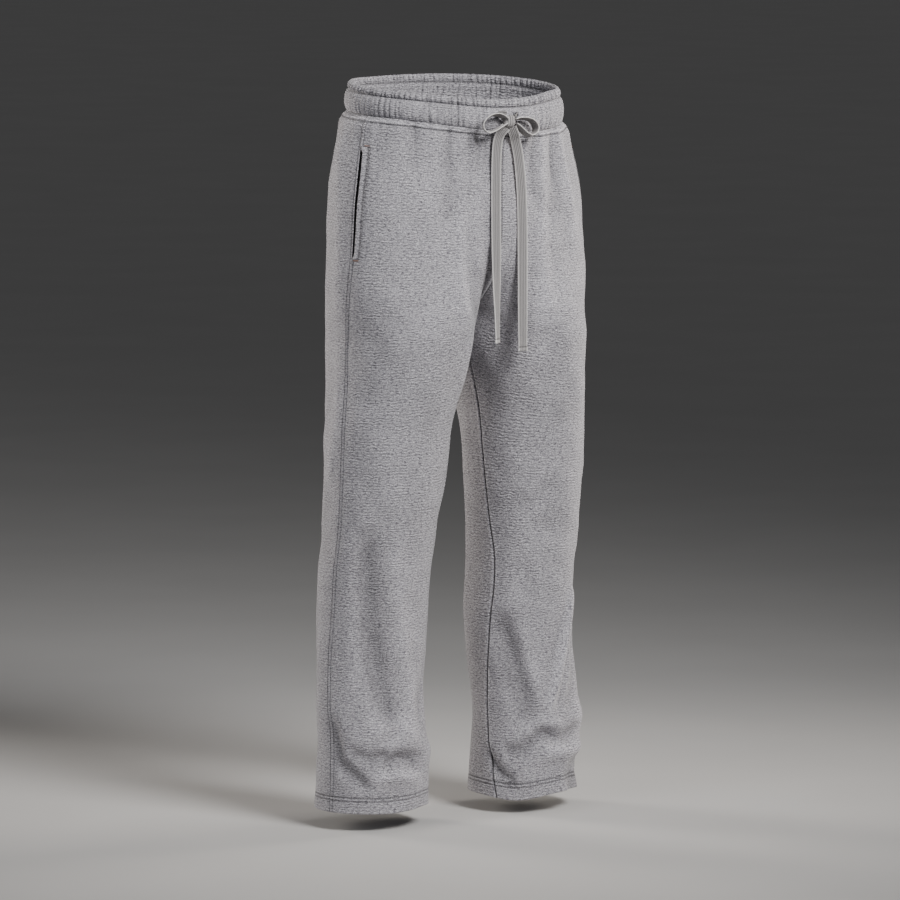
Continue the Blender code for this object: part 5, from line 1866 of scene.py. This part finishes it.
# Each light's name, its place from the aim (to the camera's right, towards the camera and up), its size, the
# property that holds its strength, and its colour.
LIGHTS = (
    ("key", (1.75, 2.1, 2.1), 1.5, "key", (1.0, 0.985, 0.97)),
    ("fill", (-2.2, 2.2, 0.4), 2.0, "fill", (0.97, 0.98, 1.0)),
    ("rim_left", (-2.1, -1.3, 0.3), 1.0, "rim", (1.0, 0.93, 0.85)),
    ("rim_right", (2.1, -1.3, 0.3), 1.0, "rim", (1.0, 0.93, 0.85)),
)
SKY_COLOUR = (0.93, 0.94, 0.96)
SKY_STRENGTH = 0.09


def view_axes(stage):
    """The camera's right, up and backward directions."""
    turn, level = stage.turn, math.cos(stage.elevation)
    back = Vector((math.sin(turn) * level, -math.cos(turn) * level, math.sin(stage.elevation)))
    right = Vector((0, 0, 1)).cross(back).normalized()
    return right, back.cross(right), back


def place_camera(stage):
    right, up, back = view_axes(stage)
    aim = Vector((0, 0, stage.aim_height)) + right * stage.aim_aside
    bpy.ops.object.camera_add(location=aim + back * stage.distance)
    camera = bpy.context.object
    camera.rotation_euler = Matrix((right, up, back)).transposed().to_euler()
    camera.data.sensor_width = 36
    camera.data.lens = stage.lens
    camera.data.clip_end = 200
    bpy.context.scene.camera = camera


def place_floor(stage):
    low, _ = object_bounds()
    height = low[2] - stage.floor_below
    deselect_all()
    bpy.ops.mesh.primitive_circle_add(vertices=96, radius=FLOOR_RADIUS, fill_type="NGON", location=(0, 0, height))
    floor = bpy.context.object
    floor.name = "floor"
    made, tree, shader = new_material("studio_floor", stage.floor, 0.85)
    mottle(tree, shader, stage.floor, 3.0, (0.985, 1.015), 0.2)
    floor.data.materials.append(made)
    floor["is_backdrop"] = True


def place_lights(stage):
    """A key from the camera's upper right, a fill from its left, and a rim light on each side behind."""
    right, _, back = view_axes(stage)
    level = Vector((back.x, back.y, 0)).normalized()
    for name, (aside, forward, up), size, strength, colour in LIGHTS:
        place = aside * right + forward * level + Vector((0, 0, up))
        bpy.ops.object.light_add(type="AREA", location=LIGHTS_AIM + place)
        light = bpy.context.object
        light.name = name
        light.rotation_euler = place.to_track_quat("Z", "Y").to_euler()
        light.data.shape = "DISK"
        light.data.size = size
        light.data.energy = getattr(stage, strength)
        light.data.color = colour
        light.data.spread = math.radians(LIGHT_SPREAD)
    world = bpy.context.scene.world or bpy.data.worlds.new("studio")
    bpy.context.scene.world = world
    world.use_nodes = True
    sky = world.node_tree.nodes["Background"]
    sky.inputs["Color"].default_value = rgba(SKY_COLOUR)
    sky.inputs["Strength"].default_value = SKY_STRENGTH


# --- Operators --------------------------------------------------------------------------------------------------


class SWEATPANTS_OT_stage(bpy.types.Operator):
    """Set up the camera, the floor and the lights"""

    bl_idname = "sweatpants.stage"
    bl_label = "Stage"

    def execute(self, context):
        stage = context.scene.sweatpants_stage
        place_camera(stage)
        place_floor(stage)
        place_lights(stage)
        return {"FINISHED"}


class SWEATPANTS_OT_drawstring(bpy.types.Operator):
    """Make the flat drawstring: knot, bow loops, leads and free ends"""

    bl_idname = "sweatpants.drawstring"
    bl_label = "Drawstring"

    def execute(self, context):
        trim = context.scene.sweatpants_trim
        make_drawstring(trim, finish_named("woven_tape", tape_material, trim))
        return {"FINISHED"}


class SWEATPANTS_OT_panels(bpy.types.Operator):
    """Make the four leg panels as folded cloth with turned-up hems"""

    bl_idname = "sweatpants.panels"
    bl_label = "Leg panels"

    def execute(self, context):
        cloth = context.scene.sweatpants_cloth
        make_panels(cloth, finish_named("marl_fleece", fleece_material, cloth))
        return {"FINISHED"}


class SWEATPANTS_OT_waistband(bpy.types.Operator):
    """Make the gathered waistband with its two channels"""

    bl_idname = "sweatpants.waistband"
    bl_label = "Waistband"

    def execute(self, context):
        make_waistband(finish_named("marl_fleece", fleece_material, context.scene.sweatpants_cloth))
        return {"FINISHED"}


class SWEATPANTS_OT_pockets(bpy.types.Operator):
    """Make the pocket welts at the side seams and the bags behind them"""

    bl_idname = "sweatpants.pockets"
    bl_label = "Pockets"

    def execute(self, context):
        cloth = context.scene.sweatpants_cloth
        finish = finish_named("marl_fleece", fleece_material, cloth)
        make_pockets(finish, finish_named("pocket_knit", lining_material, cloth))
        return {"FINISHED"}


class SWEATPANTS_OT_eyelets(bpy.types.Operator):
    """Make the two thread-worked eyelets of the drawstring"""

    bl_idname = "sweatpants.eyelets"
    bl_label = "Eyelets"

    def execute(self, context):
        trim = context.scene.sweatpants_trim
        thread = finish_named("eyelet_thread", thread_material, "eyelet_thread", trim.eyelet)
        hole_shadow = finish_named("eyelet_hole", thread_material, "eyelet_hole", (0.02, 0.02, 0.02))
        make_eyelets(thread, hole_shadow)
        return {"FINISHED"}


class SWEATPANTS_OT_stitching(bpy.types.Operator):
    """Sew the rows of stitches and the bartacks"""

    bl_idname = "sweatpants.stitching"
    bl_label = "Stitching"

    def execute(self, context):
        trim = context.scene.sweatpants_trim
        thread = finish_named("sewing_thread", thread_material, "sewing_thread", trim.thread)
        tack = finish_named("tack_thread", thread_material, "tack_thread", trim.tack)
        make_stitching(trim, thread, tack)
        return {"FINISHED"}


PIECES = (
    SWEATPANTS_OT_stage,
    SWEATPANTS_OT_drawstring,
    SWEATPANTS_OT_panels,
    SWEATPANTS_OT_waistband,
    SWEATPANTS_OT_pockets,
    SWEATPANTS_OT_eyelets,
    SWEATPANTS_OT_stitching,
)


class SWEATPANTS_PT_make(bpy.types.Panel):
    """Lists the garment's sizes and colours and the steps that make it"""

    bl_idname = "SWEATPANTS_PT_make"
    bl_label = "Sweatpants"
    bl_space_type = "VIEW_3D"
    bl_region_type = "UI"
    bl_category = "Sweatpants"

    def draw(self, context):
        scene = context.scene
        for settings in (scene.sweatpants_cloth, scene.sweatpants_trim, scene.sweatpants_stage):
            box = self.layout.box()
            for name in settings.bl_rna.properties.keys():
                if name not in ("rna_type", "name"):
                    box.prop(settings, name)
        for piece in PIECES:
            self.layout.operator(piece.bl_idname)


CLASSES = (SweatpantsCloth, SweatpantsTrim, SweatpantsStage, *PIECES, SWEATPANTS_PT_make)


def register():
    for made in CLASSES:
        bpy.utils.register_class(made)
    bpy.types.Scene.sweatpants_cloth = bpy.props.PointerProperty(type=SweatpantsCloth)
    bpy.types.Scene.sweatpants_trim = bpy.props.PointerProperty(type=SweatpantsTrim)
    bpy.types.Scene.sweatpants_stage = bpy.props.PointerProperty(type=SweatpantsStage)


def unregister():
    del bpy.types.Scene.sweatpants_stage
    del bpy.types.Scene.sweatpants_trim
    del bpy.types.Scene.sweatpants_cloth
    for made in reversed(CLASSES):
        bpy.utils.unregister_class(made)


def plain(box):
    return [[float(value) for value in corner] for corner in box]


def main():
    register()
    for piece in PIECES:
        group, name = piece.bl_idname.split(".")
        getattr(getattr(bpy.ops, group), name)()


if __name__ == "__main__":
    main()
